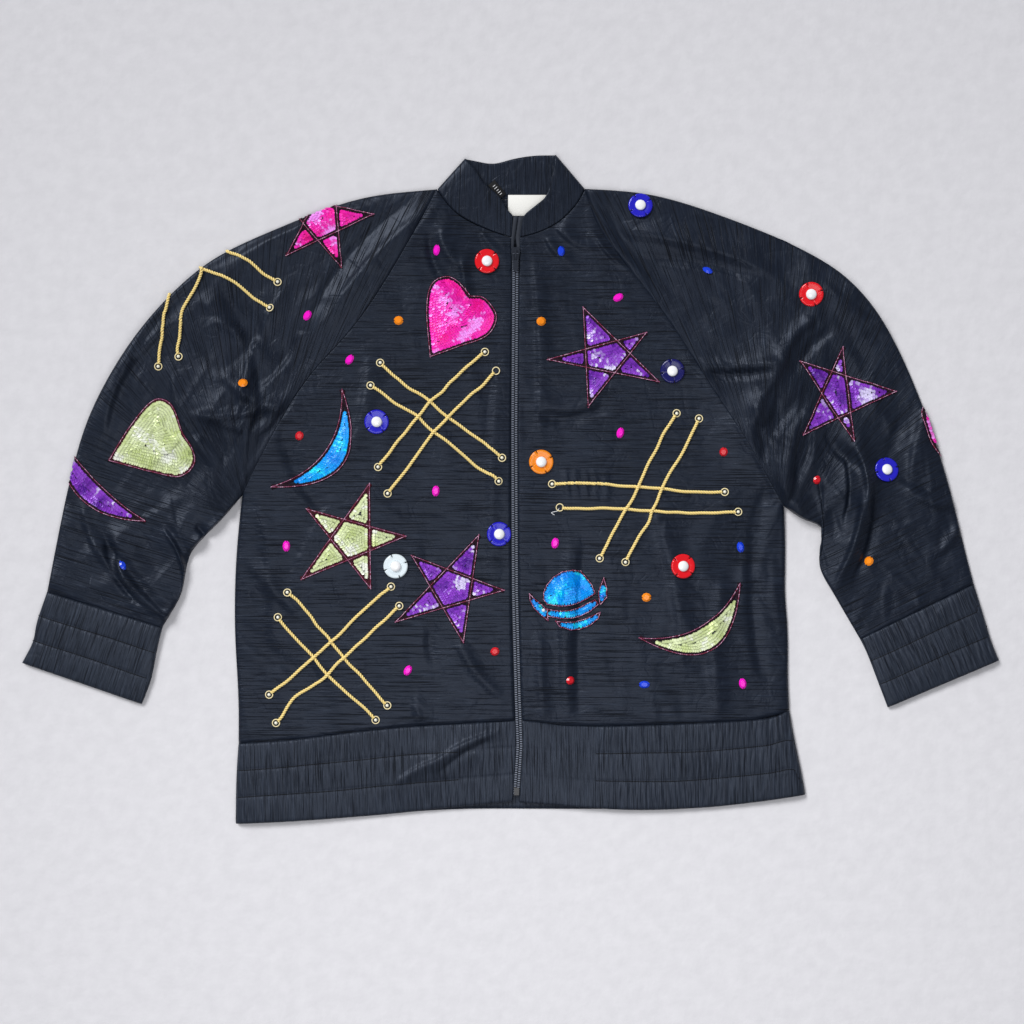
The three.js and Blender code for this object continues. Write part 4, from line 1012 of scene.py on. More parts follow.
BODY_CRUMPLES = (Crumple(48, 1.5, 2.2, 96, 3), Crumple(22, 0.35, 1.8, 92, 6))
RIGHT_ARM_CRUMPLES = (Crumple(52, 3.0, 1.6, 62, 4), Crumple(24, 0.7, 1.4, 75, 9))
LEFT_ARM_CRUMPLES = (Crumple(52, 3.0, 1.6, 112, 6), Crumple(24, 0.7, 1.4, 105, 2))
CLOTH_PIECES: list[ClothPiece] = [
    ClothPiece("back", Layer.LOWER, Weft.ACROSS, (590, 600), 0.27, detail=2),
    ClothPiece("front_right", Layer.UPPER, Weft.ACROSS, (300, 590), 0.128, crumples=BODY_CRUMPLES),
    ClothPiece("front_left", Layer.UPPER, Weft.ACROSS, (300, 580), 0.12, crumples=BODY_CRUMPLES),
    ClothPiece(
        "sleeve_right", Layer.ROUND, Weft.ARM, (520, 620), 0.165, arm_pivot=(-272, -32), arm_turn=(57, 163),
        crumples=RIGHT_ARM_CRUMPLES,
    ),
    ClothPiece(
        "sleeve_left", Layer.ROUND, Weft.ARM, (520, 620), 0.17, arm_pivot=(278, -48), arm_turn=(122, 26),
        crumples=LEFT_ARM_CRUMPLES,
    ),
    ClothPiece("collar", Layer.ROUND, Weft.UPRIGHT, (480, 60), 0.0115, crumples=(Crumple(22, 0.4, 1.4, 60, 7),)),
    ClothPiece("waistband_back", Layer.LOWER, Weft.UPRIGHT, (600, 90), 0.051, cloth="gathered"),
    GatheredBand("waistband_right", Layer.UPPER, Weft.UPRIGHT, (300, 95), 0.026, held="gathered", turn=1.7, seed=2,
                 row_span=(-1e6, -62)),
    GatheredBand(
        "waistband_left", Layer.UPPER, Weft.UPRIGHT, (300, 95), 0.026, held="gathered", turn=0.6, seed=5,
        plain_from=-30, plain_to=92, row_span=(88, 1e6),
    ),
    GatheredBand("cuff_right", Layer.ROUND, Weft.UPRIGHT, (290, 82), 0.021, held="gathered", turn=-18, seed=7),
    GatheredBand("cuff_left", Layer.ROUND, Weft.UPRIGHT, (290, 82), 0.021, held="gathered", turn=23, seed=9),
]


class Top:
    """The cloth's upper face, for laying sewn-on work on it."""

    def __init__(self, sheets: list[bpy.types.Mesh]) -> None:
        """Builds the search tree over finished sheets."""
        vertices: list = []
        faces: list = []
        for mesh in sheets:
            start = len(vertices)
            vertices.extend(v.co.copy() for v in mesh.vertices)
            faces.extend([start + index for index in polygon.vertices] for polygon in mesh.polygons)
        self.tree = BVHTree.FromPolygons(vertices, faces)

    def at(self, x: float, y: float) -> tuple[Vector, Vector] | None:
        """The cloth's point and normal under a place in plan, in mm, or None past the garment's edge."""
        point, normal, _, _ = self.tree.ray_cast(Vector((x * MM, y * MM, 0.2)), Vector((0, 0, -1)))
        if point is None or point.z < LEAST_TOP * 0.99 * MM and abs(normal.z) < 0.75:
            return None
        if normal.z < 0:
            normal = -normal
        return point, normal

    def frame_at(self, x: float, y: float, turn: float, lift: float = 0.0, tilt: float = 0.0,
                 lean: float = 0.0) -> Matrix | None:
        """A placing matrix on the cloth.

        Args:
            x: Place, mm.
            y: Place, mm.
            turn: Direction of the piece's own X axis in plan, radians.
            lift: How far above the cloth, mm.
            tilt: How far its X axis rises from the cloth, radians.
            lean: How far it rolls about its X axis, radians.

        Returns:
            The matrix, or None past the garment's edge.
        """
        hit = self.at(x, y)
        if hit is None:
            return None
        point, normal = hit
        ahead = Vector((math.cos(turn), math.sin(turn), 0))
        side = normal.cross(ahead).normalized()
        ahead = side.cross(normal)
        basis = Matrix((ahead, side, normal)).transposed()
        basis = basis @ Matrix.Rotation(-tilt, 3, "Y") @ Matrix.Rotation(lean, 3, "X")
        return Matrix.Translation(point + normal * lift * MM) @ basis.to_4x4()


def array_mesh(name: str, template: bpy.types.Mesh, frames: list[Matrix], tints: list[tuple],
               shade: np.ndarray | None = None) -> bpy.types.Mesh:
    """Joins many placed and tinted copies of a small mesh.

    Args:
        name: The new mesh's name.
        template: The small mesh, about its own origin.
        frames: A placing matrix for each copy.
        tints: A linear colour for each copy.
        shade: How much of the tint each of the template's vertices keeps.

    Returns:
        The joined mesh.
    """
    co = np.hstack([coordinates(template), np.ones((len(template.vertices), 1))])
    matrices = np.array([[list(row) for row in matrix] for matrix in frames])
    placed = np.einsum("nij,vj->nvi", matrices, co)[:, :, :3].reshape(-1, 3)
    size = len(template.vertices)
    faces = [list(polygon.vertices) for polygon in template.polygons]
    everything = [[index + copy * size for index in face] for copy in range(len(frames)) for face in faces]
    mesh = bpy.data.meshes.new(name)
    mesh.from_pydata(placed.tolist(), [], everything)
    kept = np.ones(size) if shade is None else shade
    paint(mesh, np.repeat(np.array(tints, dtype=np.float32), size, axis=0) * np.tile(kept, len(frames))[:, None])
    mesh.update()
    return mesh


def sew_copies(name: str, template: bpy.types.Mesh, seats: list[Matrix], tints: list[tuple] | int, material: str,
               slot: str, replaced: tuple[str, ...] = (), smooth: bool = True,
               shade: np.ndarray | None = None) -> None:
    """Puts many copies of a small mesh in the scene as one piece.

    Args:
        name: The piece's name.
        template: The small mesh, about its own origin.
        seats: A placing matrix for each copy.
        tints: A linear colour for each copy, or one hex colour for all.
        material: The finish that it gets.
        slot: The record's material slot.
        replaced: The construction's nodes that it replaces.
        smooth: Whether it is shaded smooth.
        shade: How much of the tint each of the template's vertices keeps.
    """
    if isinstance(tints, int):
        tints = [linear(tints)] * len(seats)
    mesh = array_mesh(name, template, seats, tints, shade)
    place(to_object(name, mesh, material, smooth), slot, replaced)


def sew_one(name: str, mesh: bpy.types.Mesh, colour: int, material: str, slot: str,
            replaced: tuple[str, ...] = ()) -> None:
    """Puts a mesh of one colour in the scene.

    Args:
        name: The piece's name.
        mesh: Its mesh, already in place.
        colour: Its hex colour.
        material: The finish that it gets.
        slot: The record's material slot.
        replaced: The construction's nodes that it replaces.
    """
    paint(mesh, linear(colour))
    place(to_object(name, mesh, material), slot, replaced)


def disc_template(radius: float, thickness: float, sides: int, cup: float = 0.0) -> bpy.types.Mesh:
    """A thin closed disc, its rim lifted by cup. Sizes are mm."""
    bm = bmesh.new()
    bmesh.ops.create_circle(bm, cap_ends=True, radius=radius * MM, segments=sides)
    made = bmesh.ops.extrude_face_region(bm, geom=list(bm.faces))
    risen = [item for item in made["geom"] if isinstance(item, bmesh.types.BMVert)]
    bmesh.ops.translate(bm, verts=risen, vec=(0, 0, thickness * MM))
    top = [face for face in bm.faces if face.calc_center_median().z > thickness * 0.9 * MM]
    if cup:
        bmesh.ops.inset_region(bm, faces=top, thickness=radius * 0.45 * MM)
        middle = {v for face in top for v in face.verts}
        bmesh.ops.translate(bm, verts=list(middle), vec=(0, 0, -cup * MM))
    bmesh.ops.recalc_face_normals(bm, faces=bm.faces)
    return from_bmesh(bm, "disc")


def stitch_template(length: float, width: float, sides: int = 5) -> bpy.types.Mesh:
    """One lying stitch, fat in the middle, along X. Sizes are mm."""
    bm = bmesh.new()
    bmesh.ops.create_uvsphere(bm, u_segments=sides, v_segments=3, radius=0.5)
    bmesh.ops.rotate(bm, verts=bm.verts, cent=(0, 0, 0), matrix=Matrix.Rotation(math.pi / 2, 3, "Y"))
    bmesh.ops.scale(bm, verts=bm.verts, vec=(length * MM, width * MM, width * 0.8 * MM))
    return from_bmesh(bm, "stitch")


def curve_mesh(name: str, lines: list[list[Vector]], radius_mm: float, sides: int) -> bpy.types.Mesh:
    """Round threads along lines of points.

    Args:
        name: The mesh's name.
        lines: The points of each thread, in metres.
        radius_mm: The thread's radius.
        sides: The bevel's resolution.

    Returns:
        One mesh of all the threads.
    """
    curve = bpy.data.curves.new(name, "CURVE")
    curve.dimensions = "3D"
    curve.bevel_depth = radius_mm * MM
    curve.bevel_resolution = sides
    curve.use_fill_caps = True
    for line in lines:
        spline = curve.splines.new("POLY")
        spline.points.add(len(line) - 1)
        flat = np.ones((len(line), 4))
        flat[:, :3] = [tuple(point) for point in line]
        spline.points.foreach_set("co", flat.ravel())
    holder = bpy.data.objects.new("holder", curve)
    bpy.context.scene.collection.objects.link(holder)
    graph = bpy.context.evaluated_depsgraph_get()
    mesh = bpy.data.meshes.new_from_object(holder.evaluated_get(graph))
    bpy.data.objects.remove(holder)
    bpy.data.curves.remove(curve)
    mesh.name = name
    bm = bmesh.new()
    bm.from_mesh(mesh)
    bmesh.ops.remove_doubles(bm, verts=bm.verts, dist=0.01 * MM)
    bmesh.ops.recalc_face_normals(bm, faces=bm.faces)
    bm.to_mesh(mesh)
    bm.free()
    return mesh


def resample(points: np.ndarray, step: float, closed: bool = True) -> tuple[np.ndarray, np.ndarray]:
    """Even points along an outline, and the outline's direction at each.

    Args:
        points: The outline's corners, mm.
        step: The distance between the new points, mm.
        closed: Whether the last corner joins the first.

    Returns:
        The points and the unit directions.
    """
    corners = np.vstack([points, points[:1]]) if closed else np.asarray(points)
    spans = np.diff(corners, axis=0)
    lengths = np.hypot(spans[:, 0], spans[:, 1])
    total = np.concatenate([[0], np.cumsum(lengths)])
    count = max(2, int(round(total[-1] / step)))
    at = np.linspace(0, total[-1], count + (0 if closed else 1), endpoint=not closed)
    places = np.stack([np.interp(at, total, corners[:, k]) for k in (0, 1)], 1)
    which = np.clip(np.searchsorted(total, at, side="right") - 1, 0, len(spans) - 1)
    return places, spans[which] / lengths[which][:, None]


def is_inside(points: np.ndarray, outline: np.ndarray) -> np.ndarray:
    """Whether each point lies inside a closed outline."""
    inside = np.zeros(len(points), dtype=bool)
    x, y = points[:, 0], points[:, 1]
    for (ax, ay), (bx, by) in zip(outline, np.roll(outline, -1, axis=0)):
        if ay == by:
            continue
        crosses = (ay > y) != (by > y)
        inside ^= crosses & (x < (bx - ax) * (y - ay) / (by - ay) + ax)
    return inside


def inside_rows(outline: np.ndarray, margin: float, row: float, step: float,
                slit: np.ndarray | None = None) -> list[tuple[float, float, float]]:
    """Places for sequins in rows that follow an outline inwards.

    Args:
        outline: The closed outline, mm, anticlockwise.
        margin: How far in the first row is, mm.
        row: The distance between rows, mm.
        step: The distance between sequins in a row, mm.
        slit: A line inside the outline that the rows bend round too, mm.

    Returns:
        For each sequin its place and its row's direction.
    """
    edge, direction = resample(outline, 0.8)
    start = np.zeros(len(edge))
    if slit is not None:
        cut, way = resample(slit, 0.8, closed=False)
        edge, direction = np.vstack([edge, cut]), np.vstack([direction, way])
        start = np.concatenate([start, np.full(len(cut), margin)])
    low, high = outline.min(0), outline.max(0)
    pitch = 0.5
    columns, lines = np.arange(low[0], high[0], pitch), np.arange(low[1], high[1], pitch)
    spots = np.stack(np.meshgrid(columns, lines), -1).reshape(-1, 2)
    spots = spots[is_inside(spots, outline)]
    gaps = np.hypot(*(spots[:, None, :] - edge[None, :, :]).transpose(2, 0, 1)) + start
    nearest = gaps.argmin(1)
    deep = gaps.min(1)
    found = []
    for level in np.arange(margin, deep.max() + 0.1, row):
        band = np.flatnonzero(np.abs(deep - level) < 0.36)
        band = band[np.argsort(nearest[band], kind="stable")]
        chosen = np.empty((0, 2))
        for index in band:
            spot = spots[index]
            if len(chosen) and np.hypot(*(chosen - spot).T).min() < step:
                continue
            chosen = np.vstack([chosen, spot])
            along = direction[nearest[index]]
            found.append((spot[0], spot[1], math.atan2(along[1], along[0])))
    return found


def smooth_line(points: list[tuple[float, float]], steps: int = 8, closed: bool = False) -> list[tuple[float, float]]:
    """A smooth line through points in plan.

    Args:
        points: The points that it passes.
        steps: How many pieces it has between two of them.
        closed: Whether it runs round to its start.

    Returns:
        Its points. A closed line leaves out the repeated start.
    """
    given = np.asarray(points, dtype=float)
    if closed:
        before, after, spans = given[-1:], given[:2], len(given)
    else:
        before, after, spans = 2 * given[:1] - given[1:2], 2 * given[-1:] - given[-2:-1], len(given) - 1
    knots = np.vstack([before, given, after])
    line = []
    for i in range(spans):
        a, b, c, d = knots[i:i + 4]
        for t in np.arange(steps) / steps:
            line.append(tuple(
                0.5 * (2 * b + (c - a) * t + (2 * a - 5 * b + 4 * c - d) * t * t + (3 * b - a - 3 * c + d) * t ** 3)
            ))
    return line if closed else [*line, tuple(given[-1])]


def crossing(a: tuple, b: tuple, c: tuple, d: tuple) -> tuple[float, float]:
    """Where the line from a to b crosses the line from c to d."""
    turn = (b[0] - a[0]) * (d[1] - c[1]) - (b[1] - a[1]) * (d[0] - c[0])
    share = ((c[0] - a[0]) * (d[1] - c[1]) - (c[1] - a[1]) * (d[0] - c[0])) / turn
    return a[0] + (b[0] - a[0]) * share, a[1] + (b[1] - a[1]) * share


def bowed(a: tuple, b: tuple, bow: float, steps: int = 10) -> list[tuple[float, float]]:
    """Points from a up to b, along a curve that bows to the left of the way by bow. The last point is left out."""
    ax, ay = a
    bx, by = b
    length = math.hypot(bx - ax, by - ay)
    left = (-(by - ay) / length, (bx - ax) / length)
    points = []
    for i in range(steps):
        t = i / steps
        out = bow * 4 * t * (1 - t)
        points.append((ax + (bx - ax) * t + left[0] * out, ay + (by - ay) * t + left[1] * out))
    return points


def anticlockwise(points: list | np.ndarray) -> np.ndarray:
    """The same outline, turned to run anticlockwise."""
    outline = np.asarray(points, dtype=float)
    x, y = outline[:, 0], outline[:, 1]
    area = (x * np.roll(y, -1) - np.roll(x, -1) * y).sum()
    return outline if area > 0 else outline[::-1]


@dataclass(frozen=True)
class Foil:
    """The colours of a kind of sequin: its own, where it catches the light, and in shade."""

    slot: str
    own: int
    bright: int
    deep: int
    bright_share: float = 0.28
    row_shade: float = 0.8  # how much colour is left where a row's edge lies


FOILS = {
    "pink": Foil("sequins_pink", 0xFF26BE, 0xFF9CFF, 0xFF0C9C, 0.44),
    "violet": Foil("sequins_violet", 0x8E3CCC, 0xE4DAFF, 0x581A98, 0.36),
    "lime": Foil("sequins_lime", 0xDCE8B4, 0xF6FAEC, 0xC4D48C, 0.34, 0.6),
    "blue": Foil("sequins_blue", 0x00A6FF, 0x24ECFF, 0x0084F0, 0.36),
}


def patchiness(x: float, y: float, seed: float) -> float:
    """A smooth value from 0 to 1 over the plan, for light that falls in patches of about 20 mm."""
    value = (
        math.sin(x / 7.3 + seed) * math.cos(y / 6.1 - seed * 1.7)
        + math.sin((x + y) / 9.7 + seed * 2.3)
        + 0.6 * math.sin((x - y) / 4.9 - seed)
    )
    return 0.5 + value / 5.2


@dataclass
class SequinShape:
    """A shape filled with rows of sequins, with couched thread along its lines in a dark stitched band."""

    node: str
    foil: str
    cells: list[np.ndarray]
    lines: list[np.ndarray]
    row_mm: float = 2.9
    step_mm: float = 2.1
    sequin_mm: float = 4.2
    margin_mm: float = 4.2
    band: int = 0x230519
    beads: list[tuple[float, float, int]] = field(default_factory=list)  # x, y and colour
    slit: list[tuple[float, float]] | None = None  # a heart's notch, drawn on inwards for its rows
    seed: int = 1

    def build(self, top: Top) -> None:
        """Sews the sequins and the edging on the cloth.

        Args:
            top: The cloth's upper face.
        """
        rng = random.Random(self.seed)
        foil = FOILS[self.foil]
        frames, tints = [], []
        slit = None if self.slit is None else np.array(self.slit)
        for cell in self.cells:
            for x, y, angle in inside_rows(cell, self.margin_mm, self.row_mm, self.step_mm, slit):
                light = patchiness(x, y, self.seed)
                tilt = 0.17 + rng.gauss(0, 0.05)
                matrix = top.frame_at(x, y, angle, 0.75 + rng.uniform(0, 0.12), tilt, rng.gauss(0.1, 0.05))
                if matrix is None:
                    continue
                frames.append(matrix)
                tints.append(self.tint(foil, light, rng))
        disc = disc_template(self.sequin_mm / 2, 0.22, 7, 0.12)
        shade = np.where(coordinates(disc)[:, 1] > 0.2 * self.sequin_mm * MM, foil.row_shade, 1.0)
        sew_copies(
            self.node + "_sequins", disc, frames, tints, "foil", foil.slot, (self.node,), smooth=False, shade=shade
        )
        self.edging(top, rng)

    def tint(self, foil: Foil, light: float, rng: random.Random) -> tuple:
        """One sequin's colour.

        Args:
            foil: Its kind.
            light: How much light falls there, 0 to 1.
            rng: The shape's own random source.

        Returns:
            A linear colour.
        """
        value = light + rng.gauss(0, 0.1)
        own, bright, deep = (np.array(linear(c)) for c in (foil.own, foil.bright, foil.deep))
        if value > 1 - foil.bright_share:
            share = min(1.0, (value - 1 + foil.bright_share) / 0.18)
            return tuple(own + (bright - own) * share)
        share = min(1.0, max(0.0, (0.5 - value) / 0.4))
        return tuple(own + (deep - own) * share)

    def edging(self, top: Top, rng: random.Random) -> None:
        """The dark satin-stitched band round every cell, and the metallic thread along every line.

        Args:
            top: The cloth's upper face.
            rng: The shape's own random source.
        """
        bars, bar_tints, threads, thread_tints_and_glints = [], [], [], []
        dark = np.array(linear(self.band))
        for cell in self.cells:
            points, direction = resample(cell, 1.1)
            for (x, y), (dx, dy) in zip(points, direction):
                turn = math.atan2(dx, -dy)
                matrix = top.frame_at(x - 1.1 * dy, y + 1.1 * dx, turn, 0.5, rng.gauss(0, 0.05))
                if matrix is not None:
                    bars.append(matrix)
                    bar_tints.append(tuple(dark[:3] * rng.uniform(0.5, 1.5)) + (1,))
        for line in self.lines:
            points, direction = resample(line, 2.1, closed=False)
            for (x, y), (dx, dy) in zip(points, direction):
                matrix = top.frame_at(x, y, math.atan2(dy, dx) + rng.gauss(0, 0.12), 1.25)
                if matrix is not None:
                    threads.append(matrix)
                    # The maroon tints are the thread's own colour; the paler mauve ones are painted highlights of the
                    # metallic yarn, mixed in at random.
                    thread_tints_and_glints.append(linear(rng.choice((0xC080A4, 0xA86488, 0xD8A8C4, 0x8C2848, 0x9C4C70))))
        slot = FOILS[self.foil].slot
        sew_copies(self.node + "_band", stitch_template(4.8, 1.5, sides=4), bars, bar_tints, "thread", slot)
        sew_copies(self.node + "_edging", stitch_template(2.7, 0.95), threads, thread_tints_and_glints, "yarn", slot)
        if self.beads:
            seats = [top.frame_at(x, y, 0, 1.2) for x, y, _ in self.beads]
            bead_tints = [linear(colour) for _, _, colour in self.beads]
            sew_copies(self.node + "_beads", bead_template(2.0), seats, bead_tints, "pearl", slot)


def bead_template(radius: float) -> bpy.types.Mesh:
    """A small round bead. Its radius is in mm."""
    bm = bmesh.new()
    bmesh.ops.create_uvsphere(bm, u_segments=12, v_segments=8, radius=radius * MM)
    return from_bmesh(bm, "bead")


def star(node: str, foil: str, tips: list[tuple[float, float]], seed: int, band: int = 0x230519) -> SequinShape:
    """A star in six cells, five points and the middle, as its crossing sides divide it.

    Args:
        node: The construction's node.
        foil: Its sequins.
        tips: Its five tips, mm, anticlockwise.
        seed: Its random source.
        band: The colour of its stitched band.

    Returns:
        The shape.
    """
    notches = [crossing(tips[i], tips[(i + 2) % 5], tips[(i + 1) % 5], tips[i - 1]) for i in range(5)]
    cells = [anticlockwise([tips[i], notches[i], notches[i - 1]]) for i in range(5)]
    cells.append(anticlockwise(notches))
    lines = [np.array([tips[i], tips[(i + 2) % 5]]) for i in range(5)]
    return SequinShape(node, foil, cells, lines, seed=seed, band=band)


def filled(node: str, foil: str, outlines: list, seed: int, **sizes) -> SequinShape:
    """A shape of closed outlines, each a cell with the couched thread round it."""
    cells = [anticlockwise(outline) for outline in outlines]
    lines = [np.vstack([cell, cell[:1]]) for cell in cells]
    return SequinShape(node, foil, cells, lines, seed=seed, **sizes)


def heart(node: str, foil: str, up: list, down: list, seed: int, **sizes) -> SequinShape:
    """A heart, smooth from its point up one side to its notch and down the other."""
    outline = smooth_line(up)[:-1] + smooth_line(down)[:-1]
    return filled(node, foil, [outline], seed, **sizes)


def crescent(node: str, foil: str, start: tuple, end: tuple, bulge: float, hollow: float, seed: int) -> SequinShape:
    """A crescent between two bowed lines from tip to tip."""
    return filled(node, foil, [bowed(start, end, bulge, 24) + bowed(end, start, -hollow, 24)], seed, margin_mm=4.4)


# The planet's globe in three bands, and the two horns of its ring.
PLANET_PARTS = [
    [(38.9, -120.2), (52.5, -122.3), (63, -121.3), (73.5, -118.1), (81.9, -113.9), (89.2, -108.7), (86.1, -100.3),
     (79.8, -91.9), (73.8, -85.6), (65.6, -84.5), (54.8, -86.4), (45.4, -91.9), (38.3, -100.3), (35.2, -107.8),
     (35.2, -115)],
    [(38.9, -125.5), (39.9, -132.8), (52.5, -134.9), (63, -134.9), (73.5, -132.8), (84, -127.6), (92.4, -120.2),
     (89.2, -115.5), (81.9, -119.2), (73.5, -123.4), (63, -126.5), (52.5, -127.6)],
    [(48.3, -138.1), (52.5, -143.3), (63, -147), (73.5, -146.5), (84, -142.3), (92.4, -134.9), (94.5, -128.6),
     (87.2, -131.8), (78.8, -136), (68.2, -138.6), (57.8, -139.1)],
    [(20.5, -109.7), (21, -116), (25.2, -124.4), (31.5, -130.7), (39.9, -137), (38.9, -126), (32.6, -120.2),
     (26.2, -115)],
    [(98.2, -92.9), (94.5, -102.4), (92.4, -107.6), (93.5, -116), (94.5, -120.2), (101.3, -112.9), (101.3, -103.4)],
]

SHAPES: list[SequinShape] = [
    star("star_violet_chest", "violet", [(76.7, 190.6), (39.4, 136), (81.9, 86.6), (156, 112.9), (142.8, 164.3)], 1),
    star("star_violet_hip", "violet",
         [(-32.6, -47.8), (-102.9, -69.3), (-119.7, -138.6), (-48.8, -160.1), (-6.3, -105.5)], 2),
    star("star_lime", "lime", [(-147, 5.8), (-212.6, -20.5), (-218.4, -94), (-146, -103.4), (-109.2, -48.8)], 3,
         band=0x46101F),
    star("star_violet_sleeve", "violet",
         [(348.5, 149.1), (304.2, 133.9), (306.6, 57.2), (359.9, 50.6), (404.5, 102.9)], 4),
    star("star_pink_shoulder", "pink",
         [(-184.8, 334.4), (-242.6, 308.2), (-234.2, 245.2), (-176.4, 232.6), (-142.8, 288.2)], 5),
    heart("heart_pink", "pink",
          [(-83.5, 139.1), (-87.2, 186.4), (-82.4, 213.7), (-66.7, 223.1), (-51.5, 215.3), (-42, 202.7)],
          [(-42, 202.7), (-26.3, 200), (-14.2, 181.1), (-24.2, 161.2), (-52.5, 150.2), (-83.5, 139.1)], 6,
          slit=[(-42, 202), (-52, 184)]),
    heart("heart_lime", "lime",
          [(-420.5, 30.5), (-399, 64.6), (-378, 89.8), (-364.4, 94.5), (-350.7, 84.5), (-341.8, 58.3)],
          [(-341.8, 58.3), (-332.3, 43.6), (-330.8, 26.8), (-346.5, 13.7), (-378, 19.4), (-420.5, 30.5)], 7,
          row_mm=3.0, sequin_mm=4.9, band=0x46101F, slit=[(-342.5, 58), (-362, 54)]),
    heart("heart_pink_elbow", "pink",
          [(452.6, 32), (441, 48.8), (435.8, 62.5), (431.6, 79.3), (437.9, 91.9), (459.9, 81.4)],
          [(459.9, 81.4), (474.6, 81.4), (478.8, 64.6), (467.3, 45.7), (452.6, 32)], 8),
    crescent("crescent_blue", "blue", (-175.8, 104.7), (-250, 2.6), 47, 24, 9),
    crescent("crescent_lime", "lime", (135.5, -155.4), (241, -98.2), -47, -20, 10),
    crescent("crescent_violet", "violet", (-381.2, -33.1), (-472.5, 60.4), 32.5, 8.4, 11),
    filled("planet", "blue", PLANET_PARTS, 12, margin_mm=2.7, row_mm=2.6,
           beads=[(31.5, -122.3, 0x18B0B8), (35.2, -126.5, 0xE8ECEC), (96.6, -111.8, 0x1668E0)]),
]


@dataclass
class CordLattice:
    """Two-ply metallic cords couched across each other, each ending in a ring with a bead."""

    node: str
    cords: list[list[tuple[float, float]]]
    over_edge: bool = False
    open_ring: int | None = None  # a ring that has lost its bead
    ply_mm: float = 0.88  # radius of a ply
    lay_mm: float = 1.0  # radius that the plies turn on
    pitch_mm: float = 5.6
    gold: int = 0xFFE697
    loose: list[tuple[float, float]] = field(default_factory=list)  # a loose end of thread
    seed: int = 4

    def build(self, top: Top) -> None:
        """Lays the cords on the cloth, one over another where they cross.

        Args:
            top: The cloth's upper face.
        """
        rng = random.Random(self.seed)
        plies: list[list[Vector]] = []
        laid = np.empty((0, 2))
        ends = []
        for corners in self.cords:
            line = np.array(smooth_line(corners))
            plies.extend(self.plies(top, line, laid, rng))
            laid = np.vstack([laid, line[3:-3]])
            ends.extend([corners[0]] if self.over_edge else [corners[0], corners[-1]])
        mesh = curve_mesh(self.node + "_cords", plies, self.ply_mm, sides=1)
        sew_one(self.node + "_cords", mesh, self.gold, "yarn", "gold_cord", (self.node,))
        seats = [top.frame_at(x, y, rng.uniform(0, 6), 1.0, rng.gauss(0, 0.08), rng.gauss(0, 0.08)) for x, y in ends]
        sew_copies(self.node + "_rings", ring_template(), seats, 0xF6E6B4, "yarn", "gold_cord")
        held = [seat @ Matrix.Translation((0, 0, 1.0 * MM)) for i, seat in enumerate(seats) if i != self.open_ring]
        sew_copies(self.node + "_beads", bead_template(1.8), held, 0xFFFCE8, "pearl", "gold_cord")
        if self.loose:
            end = [top.frame_at(x, y, 0, 0.7).translation for x, y in smooth_line(self.loose)]
            thread = curve_mesh(self.node + "_loose_end", [end], 0.38, sides=1)
            sew_one(self.node + "_loose_end", thread, 0xE6E8EC, "yarn", "gold_cord")

    def plies(self, top: Top, line: np.ndarray, laid: np.ndarray, rng: random.Random) -> list[list[Vector]]:
        """The points of a cord's two plies, turning about each other.

        Args:
            top: The cloth's upper face.
            line: The cord's way in plan, mm.
            laid: Points of the cords that it crosses, mm.
            rng: The lattice's own random source.

        Returns:
            Two lines of points, in metres.
        """
        spots, ways = resample(line, self.pitch_mm / 8, closed=False)
        spots = self.eased(spots)
        skip = int(3.4 / (self.pitch_mm / 8))
        stop = len(spots) if self.over_edge else len(spots) - skip
        swing, phase, wave = rng.uniform(0.15, 0.35), rng.uniform(0, 6), rng.uniform(4, 7)
        twin: list[list[Vector]] = [[], []]
        for i in range(skip, stop):
            s = i * self.pitch_mm / 8
            side = Vector((-ways[i][1], ways[i][0], 0))
            x, y = spots[i] + np.array(side[:2]) * swing * math.sin(s / wave + phase)
            hit = top.at(x, y)
            if hit is None:
                break
            near = np.hypot(*(laid - (x, y)).T).min() if len(laid) else 99
            hump = 1.7 * math.exp(-((near / 4.5) ** 2))
            centre = hit[0] + hit[1] * (1.5 + hump) * MM
            for k in (0, 1):
                turn = 2 * math.pi * s / self.pitch_mm + math.pi * k
                offset = side * math.cos(turn) + Vector((0, 0, 1)) * math.sin(turn)
                twin[k].append(centre + offset * self.lay_mm * MM)
        return [points for points in twin if len(points) > 3]

    @staticmethod
    def eased(spots: np.ndarray, reach: int = 9) -> np.ndarray:
        """The same line without its small bends, its ends kept.

        Args:
            spots: Even points along it, mm.
            reach: How many points each mean takes on either side.

        Returns:
            The eased points.
        """
        padded = np.vstack([
            2 * spots[0] - spots[reach:0:-1], spots, 2 * spots[-1] - spots[-2:-reach - 2:-1]
        ])
        weights = np.hanning(2 * reach + 3)[1:-1]
        weights /= weights.sum()
        return np.stack([np.convolve(padded[:, k], weights, mode="valid") for k in (0, 1)], 1)


def ring_template() -> bpy.types.Mesh:
    """A flat wire ring."""
    bm = bmesh.new()
    profile = bmesh.ops.create_circle(bm, cap_ends=False, radius=0.6 * MM, segments=6)["verts"]
    bmesh.ops.rotate(bm, verts=profile, cent=(0, 0, 0), matrix=Matrix.Rotation(math.pi / 2, 3, "X"))
    bmesh.ops.translate(bm, verts=profile, vec=(3.8 * MM, 0, 0))
    edges = list(bm.edges)
    bmesh.ops.spin(bm, geom=profile + edges, cent=(0, 0, 0), axis=(0, 0, 1), angle=2 * math.pi, steps=20,
                   use_merge=True)
    bmesh.ops.remove_doubles(bm, verts=bm.verts, dist=0.02 * MM)
    bmesh.ops.recalc_face_normals(bm, faces=bm.faces)
    return from_bmesh(bm, "ring")


